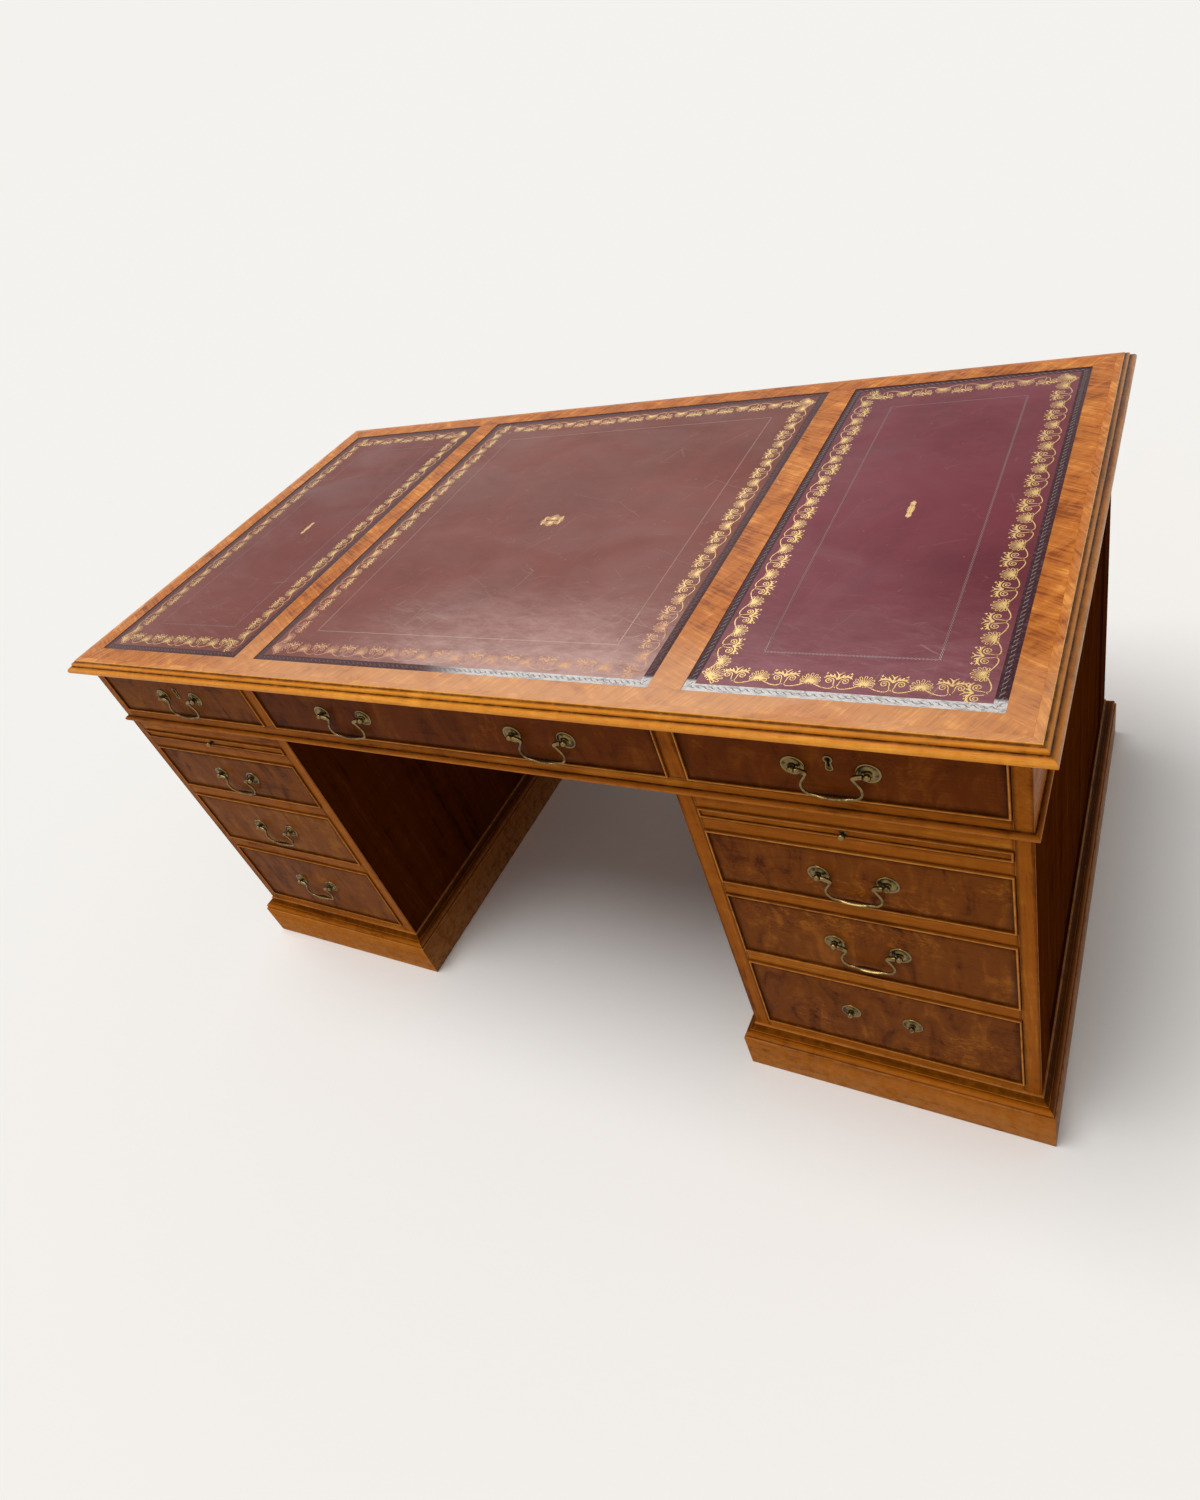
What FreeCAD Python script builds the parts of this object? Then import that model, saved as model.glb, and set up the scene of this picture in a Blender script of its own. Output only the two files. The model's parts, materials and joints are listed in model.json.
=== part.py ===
"""Partners desk: a leather-lined top on a frieze of drawers, over two pedestals.

Millimetres, +Z up.  X runs along the length of the desk and -Y is the front,
the side with the writing slides and the pedestal drawers.  The origin is on
the floor under the middle of the top.  The other side, +Y, has frieze drawers
over a cupboard in each pedestal.
"""
import FreeCAD
import Part
import math
import os

from FreeCAD import Vector

# ---------------------------------------------------------------- overall
TOP_WIDTH = 1658.0
TOP_DEPTH = 910.0
TOP_OVERHANG = 27.0          # nose of the top beyond the carcass
PEDESTAL_WIDTH = 431.0

# ---------------------------------------------------------------- heights, floor upwards
PLINTH_BOARD_HEIGHT = 77.0
PLINTH_HEIGHT = 102.0        # to the top of the plinth moulding
BOTTOM_RAIL_SHOW = 16.5      # bottom rail seen above the moulding
LOW_DRAWER_HEIGHT = 166.0
MIDDLE_DRAWER_HEIGHT = 136.0
HIGH_DRAWER_HEIGHT = 109.0
DRAWER_RAIL = 24.5
SLIDE_THICKNESS = 18.5
PEDESTAL_TOP_RAIL = 23.5
FRIEZE_RAIL = 26.0
FRIEZE_DRAWER_HEIGHT = 101.0
FRIEZE_TOP_RAIL = 6.0
TOP_THICKNESS = 20.0

# ---------------------------------------------------------------- carcass
OUTER_STILE = 21.0           # thickness of the outer side frame
INNER_STILE = 25.0           # thickness of the kneehole side
SIDE_STILE_WIDTH = 78.0      # upright of the outer side frame, along Y
SIDE_PANEL_THICKNESS = 12.0
SIDE_PANEL_RECESS = 4.5
RAIL_DEPTH = 20.0
DIVIDING_RAIL_DEPTH = 50.0
PARTITION_THICKNESS = 16.0
PEDESTAL_CEILING = 12.0
PEDESTAL_FLOOR = 14.0
CARCASS_FOOT = 70.0          # height of the glue blocks that carry a pedestal
GLUE_BLOCK = 45.0
RUNNER_WIDTH = 14.0
RUNNER_HEIGHT = 12.0
SOFFIT_THICKNESS = 12.0
MUNTIN_DEPTH = 40.0
SHELF_THICKNESS = 16.0
SHELF_HEIGHT = 362.0
SHELF_SETBACK = 48.0
PLINTH_OUT = 20.0            # plinth board beyond the carcass
FRIEZE_BEAD_OUT = 6.5
FRIEZE_BEAD_HEIGHT = 11.0

# ---------------------------------------------------------------- top
NOSE_TO_ARRIS = 15.7
MOULDING_WIDTH = 26.0        # edge moulding from its nose inwards
VENEER = 2.0
LEATHER = 1.5
BAND_WIDTH = 40.0            # crossbanding between the leather and the arris
DIVIDER_WIDTH = 46.0         # crossbanding between two leathers
SIDE_LEATHER_WIDTH = 365.0

# ---------------------------------------------------------------- drawers and slides
DRAWER_GAP = 1.0
COCKBEAD = 3.0
COCKBEAD_PROUD = 3.0
FRONT_THICKNESS = 20.0
DRAWER_SIDE = 10.0
DRAWER_BACK = 10.0
DRAWER_BOTTOM = 6.0
DRAWER_SLIP = 8.0
SIDE_INSET = 1.0             # drawer side behind the end of its front
SIDE_DROP = 6.0              # drawer side below the top of its front
BACK_CLEARANCE = 10.0        # closed drawer to the partition
SLIDE_GAP = 0.8
SLIDE_LEATHER_MARGIN = 30.0

# ---------------------------------------------------------------- brass
HANDLE_SPREAD = 88.9
HANDLE_DROP = 2.0            # frieze handles below the middle of the drawer
LOW_HANDLE_RISE = 5.0        # bottom handles above the middle of the drawer
PLATE_RADIUS = 14.75
PIVOT_OUT = 7.7              # bail pivot in front of the drawer face
POST_HEAD_RADIUS = 4.6
POST_NECK_RADIUS = 3.0
SHANK_RADIUS = 2.0
SHANK_HOLE_CLEARANCE = 0.3
NUT_FLATS = 10.0
NUT_THICKNESS = 3.5
FIT = 0.05                   # radial running fit
PIN_RADIUS = 1.5
PIN_END_GAP = 1.2            # bail pin short of the middle of the post head
ROD_RADIUS = 1.9
BAIL_DROP = 39.5
LEAF_HALF_LENGTH = 15.0
LEAF_HALF_DEPTH = 4.5
LEAF_THICKNESS = 4.4
KEYHOLE_RISE = 15.3          # escutcheon above the handle pivots
ESCUTCHEON_RADIUS = 6.0
ESCUTCHEON_LENGTH = 23.5
ESCUTCHEON_THICKNESS = 1.2
ESCUTCHEON_WAIST = 3.2       # half width where the skirt meets the round end
KEYHOLE_RADIUS = 2.6
KEYHOLE_SLOT = 2.4
KEYHOLE_LENGTH = 11.0        # slot below the middle of the round end
LOCK_WIDTH = 52.0
LOCK_HEIGHT = 40.0
LOCK_THICKNESS = 11.0
KNOB_RADIUS = 4.6
KNOB_BASE_RADIUS = 5.0
KNOB_OUT = 12.5
KNOB_SCREW_RADIUS = 1.6
KNOB_SCREW_LENGTH = 14.0

# ---------------------------------------------------------------- cupboard doors
DOOR_FRAME = 62.0
DOOR_PANEL = 8.0
DOOR_PANEL_RECESS = 7.0
DOOR_MOULD_WIDTH = 12.0
DOOR_KNOB_RADIUS = 11.0
DOOR_KNOB_BASE_RADIUS = 9.0
DOOR_KNOB_OUT = 23.0
HINGE_LEAF = 1.2
HINGE_LEAF_GAP = 0.3
HINGE_HEIGHT = 50.0
HINGE_DEPTH = 18.0
HINGE_INSET = 60.0           # hinge from the end of the door
KNUCKLE_RADIUS = 3.2
KNUCKLE_COUNT = 5
KNUCKLE_GAP = 0.3
HINGE_PIN_RADIUS = 1.4
HINGE_AXIS_OUT = 3.6

# ---------------------------------------------------------------- derived places
HALF_WIDTH = TOP_WIDTH / 2
HALF_DEPTH = TOP_DEPTH / 2
CARCASS_X = HALF_WIDTH - TOP_OVERHANG
CARCASS_Y = HALF_DEPTH - TOP_OVERHANG
PEDESTAL_INNER_X = CARCASS_X - PEDESTAL_WIDTH
PEDESTAL_MIDDLE = CARCASS_X - PEDESTAL_WIDTH / 2
OPENING_INNER_X = PEDESTAL_INNER_X + INNER_STILE
OPENING_OUTER_X = CARCASS_X - OUTER_STILE
FRONT = -CARCASS_Y
PARTITION_Y = PARTITION_THICKNESS / 2

LOW_DRAWER_Z = PLINTH_HEIGHT + BOTTOM_RAIL_SHOW
MIDDLE_DRAWER_Z = LOW_DRAWER_Z + LOW_DRAWER_HEIGHT + DRAWER_RAIL
HIGH_DRAWER_Z = MIDDLE_DRAWER_Z + MIDDLE_DRAWER_HEIGHT + DRAWER_RAIL
SLIDE_Z = HIGH_DRAWER_Z + HIGH_DRAWER_HEIGHT + DRAWER_RAIL
SLIDE_TOP_Z = SLIDE_Z + SLIDE_THICKNESS
PEDESTAL_TOP_Z = SLIDE_TOP_Z + PEDESTAL_TOP_RAIL
FRIEZE_DRAWER_Z = PEDESTAL_TOP_Z + FRIEZE_RAIL
FRIEZE_TOP_RAIL_Z = FRIEZE_DRAWER_Z + FRIEZE_DRAWER_HEIGHT
TOP_UNDERSIDE = FRIEZE_TOP_RAIL_Z + FRIEZE_TOP_RAIL
TOP_Z = TOP_UNDERSIDE + TOP_THICKNESS

ARRIS_X = HALF_WIDTH - NOSE_TO_ARRIS
ARRIS_Y = HALF_DEPTH - NOSE_TO_ARRIS
LEATHER_Y = ARRIS_Y - BAND_WIDTH
SIDE_LEATHER_OUTER_X = ARRIS_X - BAND_WIDTH
SIDE_LEATHER_INNER_X = SIDE_LEATHER_OUTER_X - SIDE_LEATHER_WIDTH
CENTRE_LEATHER_X = SIDE_LEATHER_INNER_X - DIVIDER_WIDTH

DRAWER_LENGTH = CARCASS_Y - PARTITION_Y - BACK_CLEARANCE
HINGE_SIDE_GAP = 2 * HINGE_LEAF + HINGE_LEAF_GAP
HINGE_X = OPENING_OUTER_X - HINGE_SIDE_GAP / 2
DOOR_Z = LOW_DRAWER_Z
DOOR_TOP_Z = SLIDE_TOP_Z


# ---------------------------------------------------------------- shape helpers
def box(x0, x1, y0, y1, z0, z1):
    """Box between two values on each axis."""
    return Part.makeBox(x1 - x0, y1 - y0, z1 - z0, Vector(x0, y0, z0))


def disc(radius, height, base, direction):
    """Cylinder of a radius and height from a base point."""
    return Part.makeCylinder(radius, height, base, direction)


def moved(shape, x=0.0, y=0.0, z=0.0):
    """Copy of a shape, shifted."""
    copy = shape.copy()
    copy.translate(Vector(x, y, z))
    return copy


def rotated(shape, axis, angle):
    """Copy of a shape, turned about an axis through the origin."""
    copy = shape.copy()
    copy.rotate(Vector(0, 0, 0), axis, angle)
    return copy


def to_front(shape, x, z, y=FRONT):
    """Stand a shape drawn flat, face up, against the front at x, z."""
    return moved(rotated(shape, Vector(1, 0, 0), 90), x, y, z)


def to_rear(shape):
    """Half turn about Z, from the front of the desk to its rear."""
    return rotated(shape, Vector(0, 0, 1), 180)


def mirrored(shape):
    """Mirror image across the middle of the desk."""
    return shape.mirror(Vector(0, 0, 0), Vector(1, 0, 0))


def outline(steps):
    """Closed face in the XZ plane from points and three-point arcs.

    A step is (x, z) for a straight side, or (mid x, mid z, x, z) for an arc.
    """
    here = Vector(steps[0][0], 0, steps[0][1])
    first = here
    edges = []
    for step in steps[1:]:
        target = Vector(step[-2], 0, step[-1])
        if len(step) == 4:
            middle = Vector(step[0], 0, step[1])
            edges.append(Part.Arc(here, middle, target).toShape())
        else:
            edges.append(Part.LineSegment(here, target).toShape())
        here = target
    edges.append(Part.LineSegment(here, first).toShape())
    return Part.Face(Part.Wire(edges))


def turned_solid(steps):
    """Solid turned about Z from a half section in the XZ plane."""
    return outline(steps).revolve(Vector(0, 0, 0), Vector(0, 0, 1), 360)


def mitred_length(section, half_length):
    """Length of a moulding along Y, mitred at 45 degrees at both ends.

    The section lies in XZ with x = 0 on the line that the moulding follows,
    and x grows outwards.
    """
    bounds = section.BoundBox
    inner, outer = bounds.XMin - 1, bounds.XMax + 1
    reach = half_length + outer
    bar = moved(section, y=-reach).extrude(Vector(0, 2 * reach, 0))
    corners = [(inner, -half_length - inner), (outer, -half_length - outer),
               (outer, half_length + outer), (inner, half_length + inner)]
    points = [Vector(x, y, bounds.ZMin - 1) for x, y in corners]
    trapezium = Part.Face(Part.makePolygon(points + points[:1]))
    return bar.common(trapezium.extrude(Vector(0, 0, bounds.ZLength + 2))).Solids[0]


def mitred_frame(section, half_x, half_y, x=0.0):
    """Four mitred lengths round a rectangle centred at x, 0."""
    side = mitred_length(section, half_y)
    end = mitred_length(section, half_x)
    return [moved(side, x + half_x),
            moved(rotated(side, Vector(0, 0, 1), 180), x - half_x),
            moved(rotated(end, Vector(0, 0, 1), 90), x, half_y),
            moved(rotated(end, Vector(0, 0, 1), -90), x, -half_y)]


def rounded_path(points, radii):
    """Wire of straight runs joined by tangent arcs, one radius per corner."""
    edges = []
    start = points[0]
    for before, corner, after, radius in zip(points, points[1:], points[2:], radii):
        back = Vector(before - corner).normalize()
        onward = Vector(after - corner).normalize()
        half_angle = back.getAngle(onward) / 2
        run = radius / math.tan(half_angle)
        towards = Vector(back + onward).normalize()
        centre = corner + towards * (radius / math.sin(half_angle))
        first = corner + back * run
        last = corner + onward * run
        edges.append(Part.LineSegment(start, first).toShape())
        edges.append(Part.Arc(first, centre - towards * radius, last).toShape())
        start = last
    edges.append(Part.LineSegment(start, points[-1]).toShape())
    return Part.Wire(edges)


# ---------------------------------------------------------------- top
def top_edge_section():
    """Stepped thumb moulding, nose at x = 0 and the top surface at z = 0."""
    return outline([
        (-MOULDING_WIDTH, 0), (-NOSE_TO_ARRIS, 0), (-NOSE_TO_ARRIS + 0.2, -2.2),
        (-NOSE_TO_ARRIS + 1.8, -2.6), (-10.2, -4.0, -8.9, -7.4), (-8.9, -8.6),
        (-7.8, -8.8), (-2.4, -10.6, 0, -15.4), (-0.6, -17.8, -2.6, -TOP_THICKNESS),
        (-MOULDING_WIDTH, -TOP_THICKNESS)])


def top_edge_moulding():
    """Four mitred lengths of the edge moulding."""
    frame = mitred_frame(top_edge_section(), HALF_WIDTH, HALF_DEPTH)
    return [moved(length, z=TOP_Z) for length in frame]


def top_board():
    """Ground board that carries the veneer and the leathers."""
    x = HALF_WIDTH - MOULDING_WIDTH
    y = HALF_DEPTH - MOULDING_WIDTH
    return [box(-x, x, -y, y, TOP_UNDERSIDE, TOP_Z - VENEER)]


def top_veneer_surround():
    """Crossbanding: a mitred border and two dividers, laid on the board."""
    edge_x = HALF_WIDTH - MOULDING_WIDTH
    edge_y = HALF_DEPTH - MOULDING_WIDTH
    width = edge_y - LEATHER_Y
    section = outline([(-width, 0), (-width, -VENEER), (0, -VENEER), (0, 0)])
    border = [moved(strip, z=TOP_Z) for strip in mitred_frame(section, edge_x, edge_y)]
    divider = box(CENTRE_LEATHER_X, SIDE_LEATHER_INNER_X, -LEATHER_Y, LEATHER_Y,
                  TOP_Z - VENEER, TOP_Z)
    return border + [divider, mirrored(divider)]


def leather(x0, x1):
    """Leather lining between two dividers."""
    low = TOP_Z - VENEER
    return [box(x0, x1, -LEATHER_Y, LEATHER_Y, low, low + LEATHER)]


# ---------------------------------------------------------------- frieze
def frieze_frame():
    """Ends, rails, muntins, partitions, soffit and drawer runners."""
    rails_inner_y = FRONT + RAIL_DEPTH
    solids = []
    for low, high, depth in (
            (PEDESTAL_TOP_Z, FRIEZE_DRAWER_Z, RAIL_DEPTH),
            (FRIEZE_TOP_RAIL_Z, TOP_UNDERSIDE, 3 * RAIL_DEPTH)):
        rail = box(-OPENING_OUTER_X, OPENING_OUTER_X, FRONT, FRONT + depth, low, high)
        solids += [rail, to_rear(rail)]
    end = box(OPENING_OUTER_X, CARCASS_X, FRONT, -FRONT, PEDESTAL_TOP_Z, TOP_UNDERSIDE)
    muntin = box(PEDESTAL_INNER_X, OPENING_INNER_X, FRONT, FRONT + MUNTIN_DEPTH,
                 FRIEZE_DRAWER_Z, FRIEZE_TOP_RAIL_Z)
    middle = (PEDESTAL_INNER_X + OPENING_INNER_X) / 2
    partition_low = PEDESTAL_TOP_Z + SOFFIT_THICKNESS
    partition = box(middle - PARTITION_Y, middle + PARTITION_Y,
                    FRONT + MUNTIN_DEPTH, -FRONT - MUNTIN_DEPTH,
                    partition_low, FRIEZE_TOP_RAIL_Z)
    solids += [end, mirrored(end), partition, mirrored(partition)]
    solids += [muntin, mirrored(muntin), to_rear(muntin), to_rear(mirrored(muntin))]
    solids.append(box(-OPENING_OUTER_X, OPENING_OUTER_X, rails_inner_y, -rails_inner_y,
                      PEDESTAL_TOP_Z, partition_low))
    inner_face = middle - PARTITION_Y
    outer_face = middle + PARTITION_Y
    for x0, x1 in ((-inner_face, inner_face), (outer_face, OPENING_OUTER_X),
                   (-OPENING_OUTER_X, -outer_face)):
        solids.append(box(x0, x1, -PARTITION_Y, PARTITION_Y,
                          FRIEZE_DRAWER_Z, FRIEZE_TOP_RAIL_Z))
        for edge, side in ((x0, 1), (x1, -1)):
            width = RUNNER_WIDTH + PARTITION_Y
            low_x, high_x = sorted((edge, edge + side * width))
            solids.append(box(low_x, high_x, rails_inner_y, -rails_inner_y,
                              partition_low, FRIEZE_DRAWER_Z))
    return solids


def frieze_bead_moulding():
    """Bead planted round the bottom edge of the frieze."""
    radius = FRIEZE_BEAD_HEIGHT * 0.42
    flat = FRIEZE_BEAD_OUT - radius
    section = outline([
        (0, 0), (flat, 0), (FRIEZE_BEAD_OUT, radius, flat, 2 * radius),
        (flat - 0.9, 2 * radius), (0, FRIEZE_BEAD_HEIGHT)])
    frame = mitred_frame(section, CARCASS_X, CARCASS_Y)
    return [moved(length, z=PEDESTAL_TOP_Z) for length in frame]


# ---------------------------------------------------------------- pedestals, built on the right
def pedestal_carcass():
    """Kneehole side, outer side frame and panel, floor, ceiling and partition."""
    panel_x = CARCASS_X - SIDE_PANEL_RECESS
    inner_side = box(PEDESTAL_INNER_X, OPENING_INNER_X, FRONT, -FRONT,
                     CARCASS_FOOT, PEDESTAL_TOP_Z)
    stile = box(OPENING_OUTER_X, CARCASS_X, FRONT, FRONT + SIDE_STILE_WIDTH,
                CARCASS_FOOT, PEDESTAL_TOP_Z)
    rear_stile = stile.mirror(Vector(0, 0, 0), Vector(0, 1, 0))
    panel = box(panel_x - SIDE_PANEL_THICKNESS, panel_x,
                FRONT + SIDE_STILE_WIDTH, -FRONT - SIDE_STILE_WIDTH,
                CARCASS_FOOT, PEDESTAL_TOP_Z)
    inner_y = FRONT + RAIL_DEPTH
    floor = box(OPENING_INNER_X, OPENING_OUTER_X, inner_y, -inner_y,
                PLINTH_HEIGHT - PEDESTAL_FLOOR, PLINTH_HEIGHT)
    ceiling = box(OPENING_INNER_X, OPENING_OUTER_X, inner_y, -inner_y,
                  PEDESTAL_TOP_Z - PEDESTAL_CEILING, PEDESTAL_TOP_Z)
    partition = box(OPENING_INNER_X, OPENING_OUTER_X, -PARTITION_Y, PARTITION_Y,
                    PLINTH_HEIGHT, PEDESTAL_TOP_Z - PEDESTAL_CEILING)
    return [inner_side, stile, rear_stile, panel, floor, ceiling, partition]


def runner_pair(top_z, y0, y1):
    """Two runners under the sides of what slides on them."""
    left = box(OPENING_INNER_X, OPENING_INNER_X + RUNNER_WIDTH, y0, y1,
               top_z - RUNNER_HEIGHT, top_z)
    right = box(OPENING_OUTER_X - RUNNER_WIDTH, OPENING_OUTER_X, y0, y1,
                top_z - RUNNER_HEIGHT, top_z)
    return [left, right]


def pedestal_rails():
    """Rails between the drawers, their runners, and the cupboard shelf."""
    solids = []
    for low, high, depth in (
            (CARCASS_FOOT, LOW_DRAWER_Z, RAIL_DEPTH),
            (LOW_DRAWER_Z + LOW_DRAWER_HEIGHT, MIDDLE_DRAWER_Z, DIVIDING_RAIL_DEPTH),
            (MIDDLE_DRAWER_Z + MIDDLE_DRAWER_HEIGHT, HIGH_DRAWER_Z, DIVIDING_RAIL_DEPTH),
            (HIGH_DRAWER_Z + HIGH_DRAWER_HEIGHT, SLIDE_Z, DIVIDING_RAIL_DEPTH),
            (SLIDE_TOP_Z, PEDESTAL_TOP_Z, RAIL_DEPTH)):
        solids.append(box(OPENING_INNER_X, OPENING_OUTER_X, FRONT, FRONT + depth, low, high))
    for low, high in ((CARCASS_FOOT, DOOR_Z), (DOOR_TOP_Z, PEDESTAL_TOP_Z)):
        solids.append(box(OPENING_INNER_X, OPENING_OUTER_X, -FRONT - RAIL_DEPTH, -FRONT,
                          low, high))
    for top_z in (MIDDLE_DRAWER_Z, HIGH_DRAWER_Z, SLIDE_Z):
        solids += runner_pair(top_z, FRONT + DIVIDING_RAIL_DEPTH, -PARTITION_Y)
    solids += runner_pair(LOW_DRAWER_Z, FRONT + RAIL_DEPTH, -PARTITION_Y)
    solids += runner_pair(PEDESTAL_TOP_Z - PEDESTAL_CEILING, FRONT + RAIL_DEPTH,
                          -PARTITION_Y)
    solids += runner_pair(SHELF_HEIGHT, PARTITION_Y, -FRONT - SHELF_SETBACK)
    solids.append(box(OPENING_INNER_X, OPENING_OUTER_X, PARTITION_Y, -FRONT - SHELF_SETBACK,
                      SHELF_HEIGHT, SHELF_HEIGHT + SHELF_THICKNESS))
    return solids


def plinth_moulding_section():
    """Cove, fillet and ovolo, from the plinth board up to the carcass face."""
    rise = PLINTH_HEIGHT - PLINTH_BOARD_HEIGHT
    return outline([
        (0, 0), (PLINTH_OUT - 3.0, 0), (PLINTH_OUT - 3.0, 2.5),
        (PLINTH_OUT - 4.6, 8.6, PLINTH_OUT - 10.0, 11.0),
        (PLINTH_OUT - 10.0, 12.8), (PLINTH_OUT - 11.0, 12.8),
        (4.6, 15.0, 2.6, rise - 4.0), (2.6, rise - 2.2), (0, rise)])


def plinth():
    """Mitred plinth boards, the moulding above them, and the glue blocks."""
    chamfer = 2.0
    board = outline([
        (0, 0), (PLINTH_OUT, 0), (PLINTH_OUT, PLINTH_BOARD_HEIGHT - chamfer),
        (PLINTH_OUT - chamfer, PLINTH_BOARD_HEIGHT), (0, PLINTH_BOARD_HEIGHT)])
    half_x = PEDESTAL_WIDTH / 2
    solids = mitred_frame(board, half_x, CARCASS_Y, PEDESTAL_MIDDLE)
    for length in mitred_frame(plinth_moulding_section(), half_x, CARCASS_Y,
                               PEDESTAL_MIDDLE):
        solids.append(moved(length, z=PLINTH_BOARD_HEIGHT))
    for x in (PEDESTAL_INNER_X, CARCASS_X - GLUE_BLOCK):
        for y in (FRONT, -FRONT - GLUE_BLOCK):
            solids.append(box(x, x + GLUE_BLOCK, y, y + GLUE_BLOCK, 0, CARCASS_FOOT))
    return solids


# ---------------------------------------------------------------- brass fittings
def post_places(middle):
    """X of the two posts of a handle centred at a given X."""
    return [middle - HANDLE_SPREAD / 2, middle + HANDLE_SPREAD / 2]


def plate_solid():
    """Round stepped back plate of a post, face up."""
    bore = POST_NECK_RADIUS + FIT
    return turned_solid([
        (bore, 0), (PLATE_RADIUS, 0), (PLATE_RADIUS, 0.7),
        (PLATE_RADIUS - 0.5, 1.4, PLATE_RADIUS - 1.8, 1.6), (PLATE_RADIUS - 2.6, 1.1),
        (PLATE_RADIUS - 5.2, 1.3, PLATE_RADIUS - 7.0, 2.4), (PLATE_RADIUS - 8.4, 2.6),
        (bore, 2.6)])


def post_solid(side):
    """Handle post with its shank, drilled for the bail pin; side is -1 or 1."""
    shank_length = FRONT_THICKNESS + NUT_THICKNESS + 1.5
    shank = disc(SHANK_RADIUS, shank_length, Vector(0, 0, -shank_length), Vector(0, 0, 1))
    neck = disc(POST_NECK_RADIUS, PIVOT_OUT, Vector(0, 0, 0), Vector(0, 0, 1))
    head = Part.makeSphere(POST_HEAD_RADIUS, Vector(0, 0, PIVOT_OUT))
    post = shank.fuse([neck, head]).removeSplitter()
    hole = disc(PIN_RADIUS + FIT, POST_HEAD_RADIUS + 2, Vector(side, 0, PIVOT_OUT),
                Vector(-side, 0, 0))
    return post.cut(hole).Solids[0]


def nut_solid():
    """Hexagon nut on the shank, inside the drawer."""
    corner = NUT_FLATS / math.sqrt(3)
    points = []
    for step in range(7):
        angle = math.radians(60 * step)
        points.append(Vector(corner * math.cos(angle), corner * math.sin(angle), 0))
    hexagon = Part.Face(Part.makePolygon(points)).extrude(Vector(0, 0, NUT_THICKNESS))
    bore = disc(SHANK_RADIUS + FIT, NUT_THICKNESS, Vector(0, 0, 0), Vector(0, 0, 1))
    return moved(hexagon.cut(bore).Solids[0], z=-FRONT_THICKNESS - NUT_THICKNESS)


def handle_fittings(middle, z):
    """Plates, posts and nuts of one handle on the front of the desk."""
    solids = []
    for side, x in zip((-1, 1), post_places(middle)):
        for piece in (plate_solid(), post_solid(side), nut_solid()):
            solids.append(to_front(piece, x, z))
    return solids


def keyhole_cutter():
    """Keyhole through a front and the lock behind it, face up."""
    depth = FRONT_THICKNESS + LOCK_THICKNESS + 1.0
    round_end = disc(KEYHOLE_RADIUS, 2 * depth, Vector(0, 0, -depth), Vector(0, 0, 1))
    slot = box(-KEYHOLE_SLOT / 2, KEYHOLE_SLOT / 2, -KEYHOLE_LENGTH, 0, -depth, depth)
    return round_end.fuse(slot)


def escutcheon_solid():
    """Keyhole escutcheon, face up, its round end at the top."""
    foot = ESCUTCHEON_RADIUS * 0.8
    low = ESCUTCHEON_RADIUS - ESCUTCHEON_LENGTH
    skirt = [Vector(-ESCUTCHEON_WAIST, -3.0, 0), Vector(-foot, low + 2, 0),
             Vector(foot, low + 2, 0), Vector(ESCUTCHEON_WAIST, -3.0, 0)]
    skirt = Part.Face(Part.makePolygon(skirt + skirt[:1]))
    toe = Part.makeCylinder(foot, ESCUTCHEON_THICKNESS, Vector(0, low + foot, 0))
    plate = skirt.extrude(Vector(0, 0, ESCUTCHEON_THICKNESS))
    head = Part.makeCylinder(ESCUTCHEON_RADIUS, ESCUTCHEON_THICKNESS)
    plate = plate.fuse([head, toe]).removeSplitter()
    return plate.cut(keyhole_cutter()).Solids[0]


def lock_solid():
    """Case of a drawer lock with its key pin hole, behind the front."""
    case = box(-LOCK_WIDTH / 2, LOCK_WIDTH / 2, -LOCK_HEIGHT / 2, LOCK_HEIGHT / 2,
               -FRONT_THICKNESS - LOCK_THICKNESS, -FRONT_THICKNESS)
    return case.cut(keyhole_cutter()).Solids[0]


def lock_fittings(middle, z):
    """Escutcheon and lock case for a keyhole at x, z."""
    return [to_front(piece, middle, z) for piece in (escutcheon_solid(), lock_solid())]


def bail_path():
    """Middle line of a swan-neck bail in the XZ plane, pivots at z = 0."""
    pin_x = HANDLE_SPREAD / 2 - POST_HEAD_RADIUS - 0.9
    half = [Vector(pin_x, 0, 0), Vector(pin_x - 3, 0, 0), Vector(pin_x - 16, 0, -4.2),
            Vector(pin_x - 5.2, 0, -20.5), Vector(pin_x - 8.2, 0, -34.0),
            Vector(pin_x - 20, 0, 1.2 - BAIL_DROP)]
    other = [Vector(-point.x, 0, point.z) for point in reversed(half)]
    radii = [6.0, 3.2, 11.0, 6.0, 16.0]
    bottom = [Vector(0, 0, -BAIL_DROP)]
    return rounded_path(half + bottom + other, radii + [90.0] + radii[::-1])


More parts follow.
